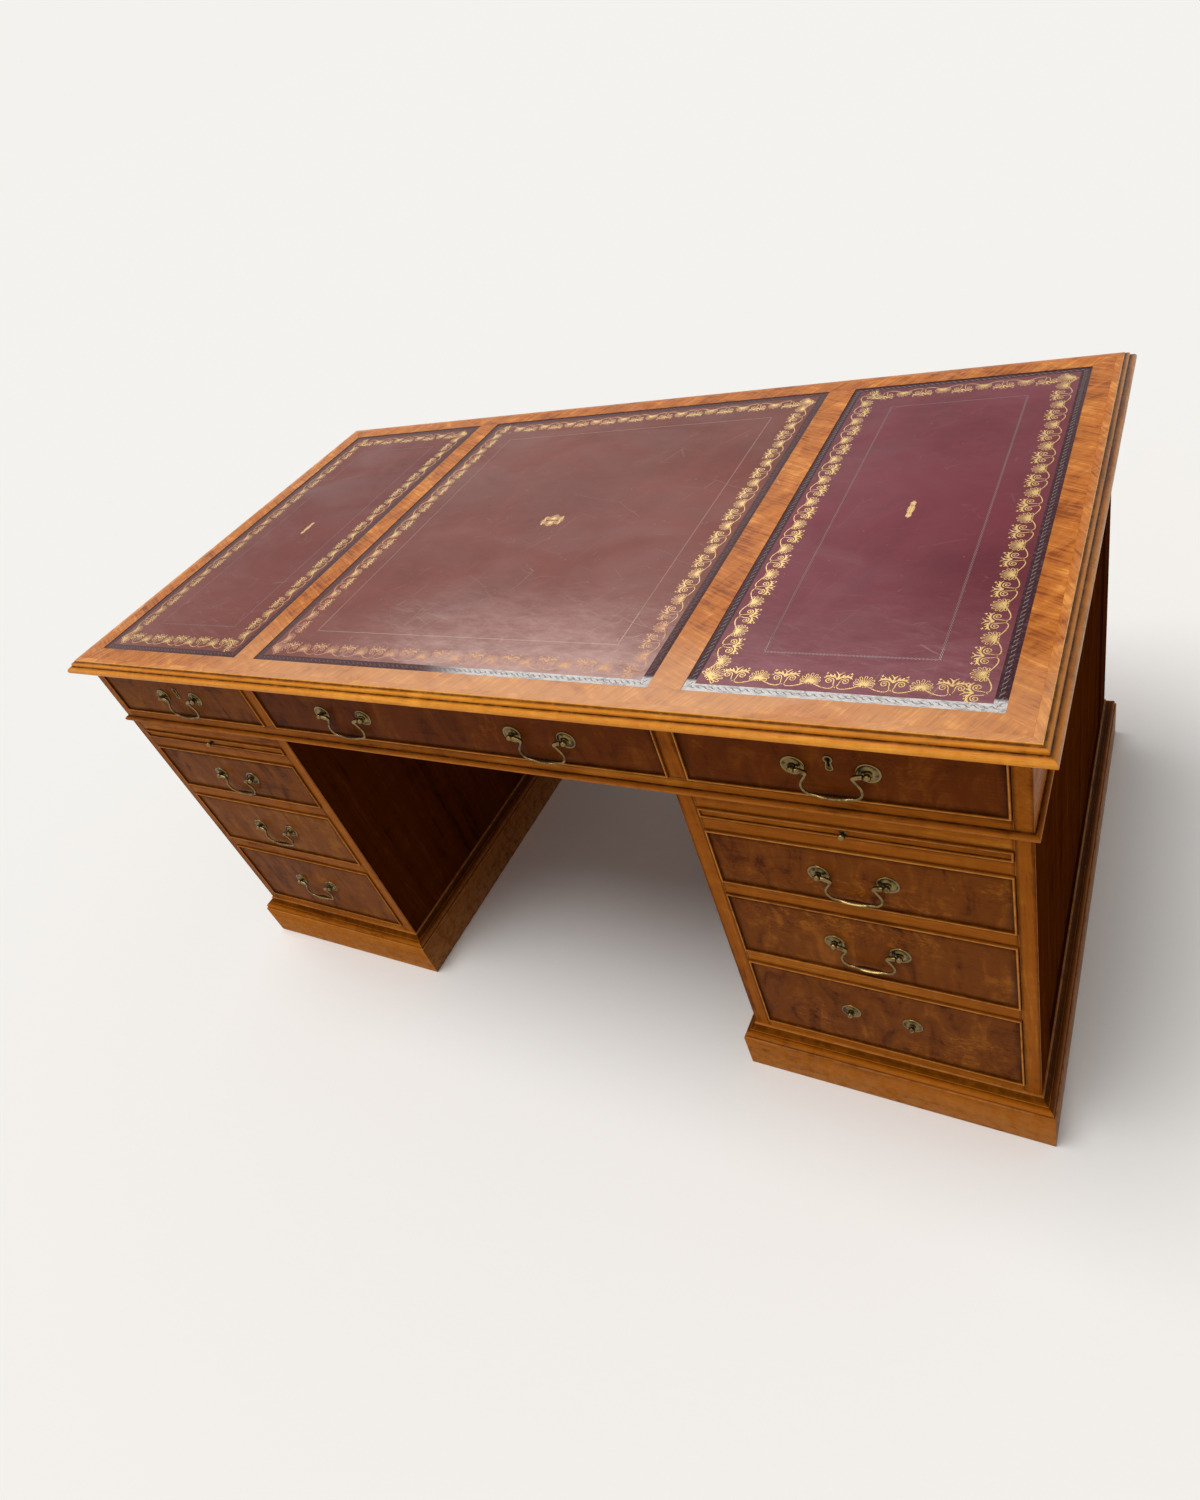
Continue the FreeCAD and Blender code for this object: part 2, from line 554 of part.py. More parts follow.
def bail_solid():
    """Swan-neck bail with its pins and flattened leaf grip, pivots at the origin."""
    path = bail_path()
    start_x = path.BoundBox.XMax
    ring = Part.Wire(Part.Circle(Vector(start_x, 0, 0), Vector(1, 0, 0), ROD_RADIUS).toShape())
    rod = path.makePipeShell([ring], True, False)
    pin_length = HANDLE_SPREAD / 2 - PIN_END_GAP - start_x + 1
    pins = [disc(PIN_RADIUS, pin_length, Vector(side * (start_x - 1), 0, 0),
                 Vector(side, 0, 0)) for side in (-1, 1)]
    half = LEAF_HALF_LENGTH
    low = -BAIL_DROP - LEAF_THICKNESS / 2
    high = -BAIL_DROP + LEAF_THICKNESS / 2
    side_view = outline([(-half, low + 2.2), (0, low, half, low + 2.2),
                         (half, high), (0, high - 0.6, -half, high)])
    blank = moved(side_view, y=-LEAF_HALF_DEPTH - 1).extrude(
        Vector(0, 2 * LEAF_HALF_DEPTH + 2, 0))
    plan = outline([(-half, 1.2), (0, LEAF_HALF_DEPTH, half, 1.2),
                    (half, -1.2), (0, -LEAF_HALF_DEPTH, -half, -1.2)])
    lens = rotated(plan, Vector(1, 0, 0), 90).extrude(Vector(0, 0, -2 * BAIL_DROP))
    return rod.fuse(pins + [blank.common(lens)]).Solids[0]


def knob_solid(radius, base, out):
    """Turned knob on a small base, with its screw, face up."""
    neck = radius * 0.45
    return turned_solid([
        (0, -KNOB_SCREW_LENGTH), (KNOB_SCREW_RADIUS, -KNOB_SCREW_LENGTH),
        (KNOB_SCREW_RADIUS, 0), (base, 0), (base, 1.2),
        (neck, 2.4), (neck, out - radius * 1.5),
        (radius, out - radius * 0.75, radius * 0.55, out - radius * 0.12), (0, out)])


def knob_screw_hole():
    """Cutter for the blind hole of a knob's screw, face up."""
    depth = KNOB_SCREW_LENGTH + 1.0
    return disc(KNOB_SCREW_RADIUS + SHANK_HOLE_CLEARANCE, depth + 1.0,
                Vector(0, 0, -depth), Vector(0, 0, 1))


# ---------------------------------------------------------------- drawers
def cockbeads(x0, x1, z0, z1):
    """Four mitred beads round the edge of a front, standing proud of its face."""
    nose = COCKBEAD / 2
    section = outline([
        (-COCKBEAD, -FRONT_THICKNESS), (0, -FRONT_THICKNESS), (0, COCKBEAD_PROUD - nose),
        (-nose, COCKBEAD_PROUD, -COCKBEAD, COCKBEAD_PROUD - nose)])
    beads = mitred_frame(section, (x1 - x0) / 2, (z1 - z0) / 2)
    return [to_front(bead, (x0 + x1) / 2, (z0 + z1) / 2) for bead in beads]


def drawer_solids(x0, x1, z0, z1, handles, handle_z, keyhole=None):
    """Drawer in an opening of the front: front, cockbeads, sides, back, bottom, slips."""
    x0, x1 = x0 + DRAWER_GAP, x1 - DRAWER_GAP
    z0, z1 = z0 + DRAWER_GAP, z1 - DRAWER_GAP
    back_y = FRONT + DRAWER_LENGTH
    inner_y = FRONT + FRONT_THICKNESS
    front = box(x0 + COCKBEAD, x1 - COCKBEAD, FRONT, inner_y, z0 + COCKBEAD, z1 - COCKBEAD)
    hole = disc(SHANK_RADIUS + SHANK_HOLE_CLEARANCE, 2 * FRONT_THICKNESS,
                Vector(0, 0, -1.5 * FRONT_THICKNESS), Vector(0, 0, 1))
    for middle in handles:
        for x in post_places(middle):
            front = front.cut(to_front(hole, x, handle_z))
    if keyhole is not None:
        front = front.cut(to_front(keyhole_cutter(), keyhole[0], keyhole[1]))
    side_x0, side_x1 = x0 + SIDE_INSET, x1 - SIDE_INSET
    top_z = z1 - SIDE_DROP
    inner_x0, inner_x1 = side_x0 + DRAWER_SIDE, side_x1 - DRAWER_SIDE
    bottom_z = z0 + DRAWER_SLIP
    walls = [box(side_x0, inner_x0, inner_y, back_y, z0, top_z),
             box(inner_x1, side_x1, inner_y, back_y, z0, top_z),
             box(inner_x0, inner_x1, back_y - DRAWER_BACK, back_y,
                 bottom_z + DRAWER_BOTTOM, top_z),
             box(inner_x0, inner_x1, inner_y, back_y, bottom_z, bottom_z + DRAWER_BOTTOM),
             box(inner_x0, inner_x0 + DRAWER_SLIP, inner_y, back_y, z0, bottom_z),
             box(inner_x1 - DRAWER_SLIP, inner_x1, inner_y, back_y, z0, bottom_z)]
    return [front.Solids[0]] + cockbeads(x0, x1, z0, z1) + walls


def frieze_drawer_openings():
    """Name, x0, x1, handle middles and keyhole x of the frieze drawers in front."""
    side_middle = (OPENING_INNER_X + OPENING_OUTER_X) / 2
    quarter = PEDESTAL_INNER_X / 2
    return [("left", -OPENING_OUTER_X, -OPENING_INNER_X, [-side_middle], -side_middle),
            ("centre", -PEDESTAL_INNER_X, PEDESTAL_INNER_X, [-quarter, quarter], None),
            ("right", OPENING_INNER_X, OPENING_OUTER_X, [side_middle], side_middle)]


def pedestal_drawer_openings():
    """Name, z0, z1 and handle height of the drawers of a pedestal."""
    rows = []
    for name, low, height, rise in (
            ("top", HIGH_DRAWER_Z, HIGH_DRAWER_HEIGHT, 0.0),
            ("middle", MIDDLE_DRAWER_Z, MIDDLE_DRAWER_HEIGHT, 0.0),
            ("bottom", LOW_DRAWER_Z, LOW_DRAWER_HEIGHT, LOW_HANDLE_RISE)):
        rows.append((name, low, low + height, low + height / 2 + rise))
    return rows


def frieze_handle_z():
    """Height of the frieze handle pivots."""
    return FRIEZE_DRAWER_Z + FRIEZE_DRAWER_HEIGHT / 2 - HANDLE_DROP


def frieze_nodes():
    """Drawers, fittings and bails of both sides of the frieze."""
    nodes = {}
    handle_z = frieze_handle_z()
    key_z = handle_z + KEYHOLE_RISE
    for name, x0, x1, middles, key_x in frieze_drawer_openings():
        keyhole = None if key_x is None else (key_x, key_z)
        solids = drawer_solids(x0, x1, FRIEZE_DRAWER_Z, FRIEZE_TOP_RAIL_Z, middles,
                               handle_z, keyhole)
        fittings = []
        for middle in middles:
            fittings += handle_fittings(middle, handle_z)
        if keyhole is not None:
            fittings += lock_fittings(*keyhole)
        bails = [moved(bail_solid(), middle, FRONT - PIVOT_OUT, handle_z)
                 for middle in middles]
        for face, place in (("front", lambda shape: shape), ("rear", to_rear)):
            nodes[f"{face}_frieze_drawer_{name}"] = [place(solid) for solid in solids]
            nodes[f"{face}_frieze_fittings_{name}"] = [place(solid) for solid in fittings]
            for index, bail in enumerate(bails):
                suffix = name if len(bails) == 1 else f"{name}_{index + 1}"
                nodes[f"{face}_frieze_bail_{suffix}"] = [place(bail)]
    return nodes


def pedestal_nodes():
    """Carcasses, plinths, drawers, fittings, bails and slides of both pedestals."""
    middle = (OPENING_INNER_X + OPENING_OUTER_X) / 2
    right = {"pedestal_carcass": pedestal_carcass(), "pedestal_rails": pedestal_rails(),
             "plinth": plinth(), "slide": slide_solids(),
             "slide_knob": [to_front(knob_solid(KNOB_RADIUS, KNOB_BASE_RADIUS, KNOB_OUT),
                                     middle, (SLIDE_Z + SLIDE_TOP_Z) / 2)]}
    for name, z0, z1, handle_z in pedestal_drawer_openings():
        right[f"drawer_{name}"] = drawer_solids(OPENING_INNER_X, OPENING_OUTER_X, z0, z1,
                                                [middle], handle_z)
        right[f"fittings_{name}"] = handle_fittings(middle, handle_z)
        right[f"bail_{name}"] = [moved(bail_solid(), middle, FRONT - PIVOT_OUT, handle_z)]
    nodes = {}
    for name, solids in right.items():
        nodes[f"left_{name}"] = [mirrored(solid) for solid in solids]
        nodes[f"right_{name}"] = solids
    del nodes["right_bail_bottom"]      # this handle has lost its bail
    return nodes


def slide_solids():
    """Writing slide of the right pedestal: beaded front strip, board and leather."""
    x0, x1 = OPENING_INNER_X + SLIDE_GAP, OPENING_OUTER_X - SLIDE_GAP
    z0, z1 = SLIDE_Z + SLIDE_GAP, SLIDE_TOP_Z - SLIDE_GAP
    inner_y = FRONT + FRONT_THICKNESS
    strip = box(x0 + COCKBEAD, x1 - COCKBEAD, FRONT, inner_y, z0 + COCKBEAD, z1 - COCKBEAD)
    strip = strip.cut(to_front(knob_screw_hole(), (x0 + x1) / 2, (z0 + z1) / 2))
    back_y = FRONT + DRAWER_LENGTH
    board = box(x0, x1, inner_y, back_y, z0, z1)
    margin = SLIDE_LEATHER_MARGIN
    lining = box(x0 + margin, x1 - margin, inner_y + margin, back_y - margin,
                 z1 - LEATHER, z1)
    return ([strip.Solids[0]] + cockbeads(x0, x1, z0, z1)
            + [board.cut(lining).Solids[0], lining])


# ---------------------------------------------------------------- cupboard doors
def door_span():
    """X and Z of a closed door, drawn on the front for the left-hand pedestal.

    The half turn to the rear brings it to the right pedestal.
    """
    return (-OPENING_OUTER_X + HINGE_SIDE_GAP, -OPENING_INNER_X - DRAWER_GAP,
            DOOR_Z + DRAWER_GAP, DOOR_TOP_Z - DRAWER_GAP)


def door_solids():
    """Frame, recessed panel and panel moulding of a door, drawn on the front."""
    x0, x1, z0, z1 = door_span()
    y0, y1 = FRONT, FRONT + FRONT_THICKNESS
    stile = DOOR_FRAME
    knob_x, knob_z, key_z = door_knob_place()
    free_stile = box(x1 - stile, x1, y0, y1, z0, z1)
    free_stile = free_stile.cut(to_front(knob_screw_hole(), knob_x, knob_z))
    free_stile = free_stile.cut(to_front(keyhole_cutter(), knob_x, key_z)).Solids[0]
    panel_y = y0 + DOOR_PANEL_RECESS
    solids = [box(x0, x0 + stile, y0, y1, z0, z1), free_stile,
              box(x0 + stile, x1 - stile, y0, y1, z0, z0 + stile),
              box(x0 + stile, x1 - stile, y0, y1, z1 - stile, z1),
              box(x0 + stile, x1 - stile, panel_y, panel_y + DOOR_PANEL,
                  z0 + stile, z1 - stile)]
    width = DOOR_MOULD_WIDTH
    section = outline([
        (-width, -DOOR_PANEL_RECESS), (0, -DOOR_PANEL_RECESS), (0, 1.6),
        (-1.8, 2.6, -3.6, 1.4), (-3.6, 0.4),
        (-7.0, -4.6, -width, 1.4 - DOOR_PANEL_RECESS)])
    half_x = (x1 - x0) / 2 - stile
    half_z = (z1 - z0) / 2 - stile
    for length in mitred_frame(section, half_x, half_z):
        solids.append(to_front(length, (x0 + x1) / 2, (z0 + z1) / 2))
    return solids


def door_knob_place():
    """X of the door knob and keyhole, and the height of each, on the front."""
    x0, x1, z0, z1 = door_span()
    knob_z = (z0 + z1) / 2 + 30.0
    return x1 - DOOR_FRAME / 2, knob_z, knob_z - 52.0


def knuckle_spans(low):
    """Low and high z of each knuckle of a hinge."""
    pitch = HINGE_HEIGHT / KNUCKLE_COUNT
    return [(low + index * pitch + KNUCKLE_GAP / 2, low + (index + 1) * pitch - KNUCKLE_GAP / 2)
            for index in range(KNUCKLE_COUNT)]


def hinge_leaf(low, leaf_x0, first, bore):
    """Leaf with every second knuckle from first, drawn on the front."""
    axis_y = FRONT - HINGE_AXIS_OUT
    plate = box(leaf_x0, leaf_x0 + HINGE_LEAF, FRONT + KNUCKLE_GAP, FRONT + HINGE_DEPTH,
                low, low + HINGE_HEIGHT)
    pieces = []
    for z0, z1 in knuckle_spans(low)[first::2]:
        barrel = disc(KNUCKLE_RADIUS, z1 - z0, Vector(-HINGE_X, axis_y, z0), Vector(0, 0, 1))
        tongue = box(leaf_x0, leaf_x0 + HINGE_LEAF, axis_y, FRONT + KNUCKLE_GAP, z0, z1)
        pieces += [barrel, tongue]
    leaf = plate.fuse(pieces)
    hole = disc(bore, HINGE_HEIGHT + 2, Vector(-HINGE_X, axis_y, low - 1), Vector(0, 0, 1))
    return leaf.cut(hole).Solids[0]


def hinge_lows():
    """Low end of each hinge of a door."""
    _, _, z0, z1 = door_span()
    return [z0 + HINGE_INSET, z1 - HINGE_INSET - HINGE_HEIGHT]


def fixed_hinges():
    """Carcass leaves and pins of one door, drawn on the front."""
    solids = []
    axis_y = FRONT - HINGE_AXIS_OUT
    for low in hinge_lows():
        solids.append(hinge_leaf(low, -OPENING_OUTER_X, 0, HINGE_PIN_RADIUS))
        solids.append(disc(HINGE_PIN_RADIUS, HINGE_HEIGHT, Vector(-HINGE_X, axis_y, low),
                           Vector(0, 0, 1)))
    return solids


def door_fittings():
    """Door leaves, knob, escutcheon and lock of one door, drawn on the front."""
    knob_x, knob_z, key_z = door_knob_place()
    leaf_x = -OPENING_OUTER_X + HINGE_LEAF + HINGE_LEAF_GAP
    solids = [hinge_leaf(low, leaf_x, 1, HINGE_PIN_RADIUS + FIT) for low in hinge_lows()]
    knob = knob_solid(DOOR_KNOB_RADIUS, DOOR_KNOB_BASE_RADIUS, DOOR_KNOB_OUT)
    return solids + [to_front(knob, knob_x, knob_z)] + lock_fittings(knob_x, key_z)


def door_nodes():
    """Both doors with their fittings, and all the carcass hinge leaves."""
    nodes = {}
    for name, solids in (("cupboard_door", door_solids()), ("door_fittings", door_fittings())):
        right = [to_rear(solid) for solid in solids]
        nodes[f"right_{name}"] = right
        nodes[f"left_{name}"] = [mirrored(solid) for solid in right]
    right = [to_rear(solid) for solid in fixed_hinges()]
    nodes["door_hinges"] = right + [mirrored(solid) for solid in right]
    return nodes


# ---------------------------------------------------------------- the desk
def desk_nodes():
    """Every node of the desk as a name and its list of solids."""
    nodes = {
        "top_board": top_board(),
        "top_edge_moulding": top_edge_moulding(),
        "top_veneer_surround": top_veneer_surround(),
        "leather_panel_left": leather(-SIDE_LEATHER_OUTER_X, -SIDE_LEATHER_INNER_X),
        "leather_panel_centre": leather(-CENTRE_LEATHER_X, CENTRE_LEATHER_X),
        "leather_panel_right": leather(SIDE_LEATHER_INNER_X, SIDE_LEATHER_OUTER_X),
        "frieze_frame": frieze_frame(),
        "frieze_bead_moulding": frieze_bead_moulding(),
    }
    nodes.update(frieze_nodes())
    nodes.update(pedestal_nodes())
    nodes.update(door_nodes())
    return nodes


def main():
    """Write one STEP file for each node."""
    os.makedirs("parts", exist_ok=True)
    for name, solids in desk_nodes().items():
        shape = solids[0] if len(solids) == 1 else Part.makeCompound(solids)
        shape.exportStep(f"parts/{name}.step")


if __name__ == "__main__":
    main()
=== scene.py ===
"""Looks of a partners desk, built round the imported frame.

Metres, +Z up, X along the desk, -Y its front.  Each sub-assembly is a class that
takes its places from the frame, shapes its pieces with the modelling operators and
dresses them in a finish.  Sections and outlines are written in millimetres.
"""
import json
import logging
import math
import random
from collections.abc import Callable, Iterator, Mapping, Sequence
from contextlib import contextmanager
from dataclasses import dataclass, replace
from enum import Enum
from functools import cache
from typing import Any

import bmesh
import bpy
from mathutils import Euler, Matrix, Vector

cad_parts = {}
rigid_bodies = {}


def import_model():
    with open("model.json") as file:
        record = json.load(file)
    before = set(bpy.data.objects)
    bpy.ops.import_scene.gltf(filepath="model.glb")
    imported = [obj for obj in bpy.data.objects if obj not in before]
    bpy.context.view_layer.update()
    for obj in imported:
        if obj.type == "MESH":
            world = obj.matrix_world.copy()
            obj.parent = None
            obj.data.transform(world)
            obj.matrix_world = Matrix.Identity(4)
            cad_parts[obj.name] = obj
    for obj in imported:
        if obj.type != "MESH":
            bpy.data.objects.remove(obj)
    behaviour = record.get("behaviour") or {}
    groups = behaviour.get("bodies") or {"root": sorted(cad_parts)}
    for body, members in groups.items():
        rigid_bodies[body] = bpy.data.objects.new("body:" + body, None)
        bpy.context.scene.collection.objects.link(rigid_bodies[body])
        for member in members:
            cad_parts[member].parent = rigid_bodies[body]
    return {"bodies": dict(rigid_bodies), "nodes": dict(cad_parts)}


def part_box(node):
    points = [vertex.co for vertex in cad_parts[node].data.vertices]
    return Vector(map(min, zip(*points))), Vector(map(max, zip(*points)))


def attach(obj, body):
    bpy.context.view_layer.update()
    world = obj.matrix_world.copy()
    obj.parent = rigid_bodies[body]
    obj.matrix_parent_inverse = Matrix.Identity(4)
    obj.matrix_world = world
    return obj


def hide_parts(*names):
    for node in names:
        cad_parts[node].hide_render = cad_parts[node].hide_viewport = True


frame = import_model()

logging.basicConfig(level=logging.INFO, format="%(message)s")
log = logging.getLogger("desk")

MM = 0.001
QUARTER = math.pi / 2
GRAIN = "grain"              # attribute: place in the log, fibres along its X
TONE = "tone"                # attribute: 1 on a worn arris, some with a painted highlight; -1 in a groove, dirt with painted shade
SOFT_ARRIS = 0.6 * MM
SHARP_ARRIS = 0.15 * MM
LEATHER_ARRIS = 0.4 * MM
SMOOTH_ANGLE = math.radians(32)
EDGE_SHADE = -0.62           # tone beside the arrises of a shaded board: painted shade, and the thicker old polish there
RAIL_SHADE = 4.0 * MM
DRAWER_SHADE = 10.0 * MM
FACING = 0.99                # cosine from which a face counts as looking one way
ROOT = "desk_frame"

Triple = tuple[float, float, float]
Colour = Triple
Scale = float | Sequence[float]               # of a noise: one for all axes, or one for each
Outline = Sequence[tuple[Any, ...]]           # rows that a Step is made of, millimetres
Span = tuple[float, float]                    # low and high place along one axis
Stroke = list[Triple]                         # x, y and half width of each point, millimetres
Object = bpy.types.Object
Mesh = bpy.types.Mesh
Socket = bpy.types.NodeSocket
Node = bpy.types.Node
Tree = bpy.types.NodeTree
Material = bpy.types.Material
Polygon = bpy.types.MeshPolygon


# ---- places
def middle(span: Span) -> float:
    """Middle of a span."""
    return (span[0] + span[1]) / 2


def half(span: Span) -> float:
    """Half of a span's length."""
    return (span[1] - span[0]) / 2


def about(reach: float) -> Span:
    """Span that lies evenly about the middle of the desk."""
    return -reach, reach


def shrink(span: Span, by: float) -> Span:
    """Span made shorter by one width at each end."""
    return span[0] + by, span[1] - by


def ends(span: Span, width: float) -> tuple[Span, Span]:
    """Two spans of one width, at the low and the high end of a span."""
    return (span[0], span[0] + width), (span[1] - width, span[1])


def spans_of(corners: tuple[Vector, Vector]) -> tuple[Span, Span, Span]:
    """Spans of a box along X, Y and Z."""
    low, high = corners
    return (low.x, high.x), (low.y, high.y), (low.z, high.z)


def at(x: float = 0.0, y: float = 0.0, z: float = 0.0) -> Matrix:
    """Matrix that shifts the origin to a place."""
    return Matrix.Translation((x, y, z))


def turn(angle: float, axis: str = "Z") -> Matrix:
    """Matrix that turns about an axis through the origin."""
    return Matrix.Rotation(angle, 4, axis)


@dataclass(frozen=True)
class Lines:
    """Main lines of the desk, read from the frame."""

    half_x: float
    half_y: float
    kneehole: float
    opening_inner: float
    opening_outer: float
    frieze_low: float
    frieze_high: float
    gap: float = 1.0 * MM

    @classmethod
    def read(cls) -> "Lines":
        """Take the lines from the nodes' boxes."""
        frieze_xs, frieze_ys, frieze_zs = spans_of(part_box("frieze_frame"))
        opening = shrink(spans_of(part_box("right_drawer_middle"))[0], -cls.gap)
        return cls(frieze_xs[1], frieze_ys[1], spans_of(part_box("right_pedestal_carcass"))[0][0],
                   *opening, *frieze_zs)


DESK = Lines.read()


class Grain(Enum):
    """Direction in which the fibres of a board run, as an order of its axes."""

    ALONG_X = (0, 1, 2)
    ALONG_Y = (1, 0, 2)
    ALONG_Z = (2, 0, 1)


ALONG_X, ALONG_Y, ALONG_Z = Grain


class Side(Enum):
    """Pedestal side, as the sign of its X."""

    LEFT = -1
    RIGHT = 1

    def node(self, name: str) -> str:
        """Full name of one of this side's nodes."""
        return f"{self.name.lower()}_{name}"

    def span(self, inner: float, outer: float) -> Span:
        """Span in X between two distances from the middle of the desk."""
        low, high = sorted((self.value * inner, self.value * outer))
        return low, high


class Face(Enum):
    """Face of the desk, as the sign of its Y."""

    FRONT = -1
    REAR = 1

    def plant(self, x: float, z: float) -> Matrix:
        """Matrix that stands a shape drawn flat, face up, against this face."""
        facing = turn(0.0 if self is Face.FRONT else math.pi)
        return at(x, self.value * DESK.half_y, z) @ facing @ turn(QUARTER, "X")

    def depth(self, near: float, far: float) -> Span:
        """Span in Y between two depths behind this face."""
        low, high = sorted((self.value * (DESK.half_y - near), self.value * (DESK.half_y - far)))
        return low, high


# ---- modelling
def hold(obj: Object) -> Object:
    """Select one object alone and make it the active one."""
    bpy.ops.object.select_all(action="DESELECT")
    obj.select_set(True)
    bpy.context.view_layer.objects.active = obj
    return obj


@contextmanager
def shaping(obj: Object) -> Iterator[None]:
    """Edit mode on one object, with all of its mesh selected at the start."""
    hold(obj)
    bpy.ops.object.mode_set(mode="EDIT")
    bpy.ops.mesh.select_all(action="SELECT")
    yield
    bpy.ops.object.mode_set(mode="OBJECT")


def pull(move: Sequence[float]) -> None:
    """Extrude what is selected in edit mode."""
    bpy.ops.mesh.extrude_region_move(TRANSFORM_OT_translate={"value": move})


def face_outwards() -> None:
    """Turn all normals outwards, in edit mode."""
    bpy.ops.mesh.select_all(action="SELECT")
    bpy.ops.mesh.normals_make_consistent(inside=False)


def pick_faces(obj: Object, direction: Sequence[float]) -> None:
    """Select, in edit mode, the faces that look in one direction.

    Args:
        obj: Object that is being shaped.
        direction: Direction of the wanted normals.
    """
    mesh = bmesh.from_edit_mesh(obj.data)
    bpy.ops.mesh.select_all(action="DESELECT")
    for face in mesh.faces:
        face.select_set(face.normal.dot(Vector(direction)) > FACING)
    bmesh.update_edit_mesh(obj.data)


def modify(obj: Object, kind: str, **settings: Any) -> None:
    """Put a modifier on an object and apply it.

    Args:
        obj: Object to change.
        kind: Type of the modifier.
        settings: Its values.
    """
    hold(obj)
    modifier = obj.modifiers.new(kind.lower(), kind)
    for name, value in settings.items():
        setattr(modifier, name, value)
    bpy.ops.object.modifier_apply(modifier=modifier.name)


def fix_place(obj: Object) -> Object:
    """Move an object's place, turn and size into its mesh."""
    hold(obj)
    bpy.ops.object.transform_apply(location=True, rotation=True, scale=True)
    return obj


def put(obj: Object, place: Matrix) -> Object:
    """Carry an object, whose own place is already in its mesh, to a place."""
    obj.matrix_world = place
    return fix_place(obj)


def join(parts: Sequence[Object]) -> Object:
    """Make several objects one.

    Args:
        parts: Objects to join; the first one stays.

    Returns:
        The joined object.
    """
    hold(parts[0])
    for part in parts[1:]:
        part.select_set(True)
    if len(parts) > 1:
        bpy.ops.object.join()
    return parts[0]


def keep_pattern(obj: Object) -> Mesh:
    """Take a modelled shape out of the scene and keep its mesh for copies."""
    mesh = obj.data
    bpy.data.objects.remove(obj)
    return mesh


def stamp(pattern: Mesh, place: Matrix) -> Object:
    """Copy of a pattern, with a mesh of its own, at a place.

    Args:
        pattern: Mesh to copy.
        place: Where the copy goes.

    Returns:
        The new object.
    """
    mesh = pattern.copy()
    mesh.transform(place)
    obj = bpy.data.objects.new("copy", mesh)
    bpy.context.scene.collection.objects.link(obj)
    return obj


class Log:
    """The tree that boards are sawn from: gives every board its own stretch of grain."""

    def __init__(self, seed: int, reach: float = 9.0) -> None:
        """Start from a seed, so that every run saws the same boards."""
        self._chance = random.Random(seed)
        self._reach = reach

    def stretch(self) -> Vector:
        """Next place in the log, some way from all the others."""
        return Vector([self._chance.uniform(-self._reach, self._reach) for _ in range(3)])


TREE = Log(seed=1907)


def mark_grain(obj: Object, grain: Grain) -> None:
    """Write each vertex's place in the log.

    Args:
        obj: Board or moulding, still lying along its axes.
        grain: Direction of its fibres.
    """
    shift = TREE.stretch()
    values: list[float] = []
    for vertex in obj.data.vertices:
        values.extend(vertex.co[axis] + shift[rank] for rank, axis in enumerate(grain.value))
    attributes = obj.data.attributes
    attribute = attributes.get(GRAIN) or attributes.new(GRAIN, "FLOAT_VECTOR", "POINT")
    attribute.data.foreach_set("vector", values)


def mark_tone(obj: Object, tone: Callable[[Vector], float]) -> None:
    """Write each vertex's wear.

    Args:
        obj: Object to mark.
        tone: Wear at a place, from -1 in a dirty groove to 1 on a worn arris.
    """
    values = [tone(vertex.co) for vertex in obj.data.vertices]
    attribute = obj.data.attributes.new(TONE, "FLOAT", "POINT")
    attribute.data.foreach_set("value", values)


def board(xs: Span, ys: Span, zs: Span, grain: Grain, arris: float = SOFT_ARRIS,
          wear: float = 0.8, shade: float = 0.0) -> Object:
    """Board with softened arrises, darker towards the edges of its faces: painted shade there, and the
    thicker old polish.

    Args:
        xs: Its span in X.
        ys: Its span in Y.
        zs: Its span in Z.
        grain: Direction of its fibres.
        arris: Width of the softening.
        wear: Tone of the arrises; below zero they darken with dirt and painted shade.
        shade: Width of the painted shade along the edges of its faces.

    Returns:
        The board.
    """
    low, high = (Vector(corner) for corner in zip(xs, ys, zs))
    bpy.ops.mesh.primitive_cube_add(size=1, location=(low + high) / 2, scale=high - low)
    obj = fix_place(bpy.context.object)
    modify(obj, "BEVEL", width=arris, segments=2, limit_method="ANGLE")
    if shade:
        for direction in ((1, 0, 0), (-1, 0, 0), (0, 1, 0), (0, -1, 0), (0, 0, 1), (0, 0, -1)):
            across = [size for size, part in zip(high - low, direction) if not part]
            with shaping(obj):
                pick_faces(obj, direction)
                bpy.ops.mesh.inset(thickness=min(shade, min(across) * 0.4))
    on_arris, beside_arris = arris * 0.05, arris * 1.05

    def tone_at(place: Vector) -> float:
        """Tone of a vertex: worn on the arris, dark with painted shade beside it, plain on the flats."""
        gaps = sorted(min(place[axis] - low[axis], high[axis] - place[axis]) for axis in range(3))
        if gaps[0] > on_arris:
            return wear
        return EDGE_SHADE if shade and gaps[1] < beside_arris else 0.0

    mark_grain(obj, grain)
    mark_tone(obj, tone_at)
    return obj


@dataclass(frozen=True)
class Step:
    """Step of an outline, in millimetres: a straight side, or an arc through `via`.

    An outline is a list of rows, each with what its step needs of these values.
    """

    x: float
    z: float
    tone: float = 0.0
    via: tuple[float, float] | None = None
    via_tone: float = 0.0


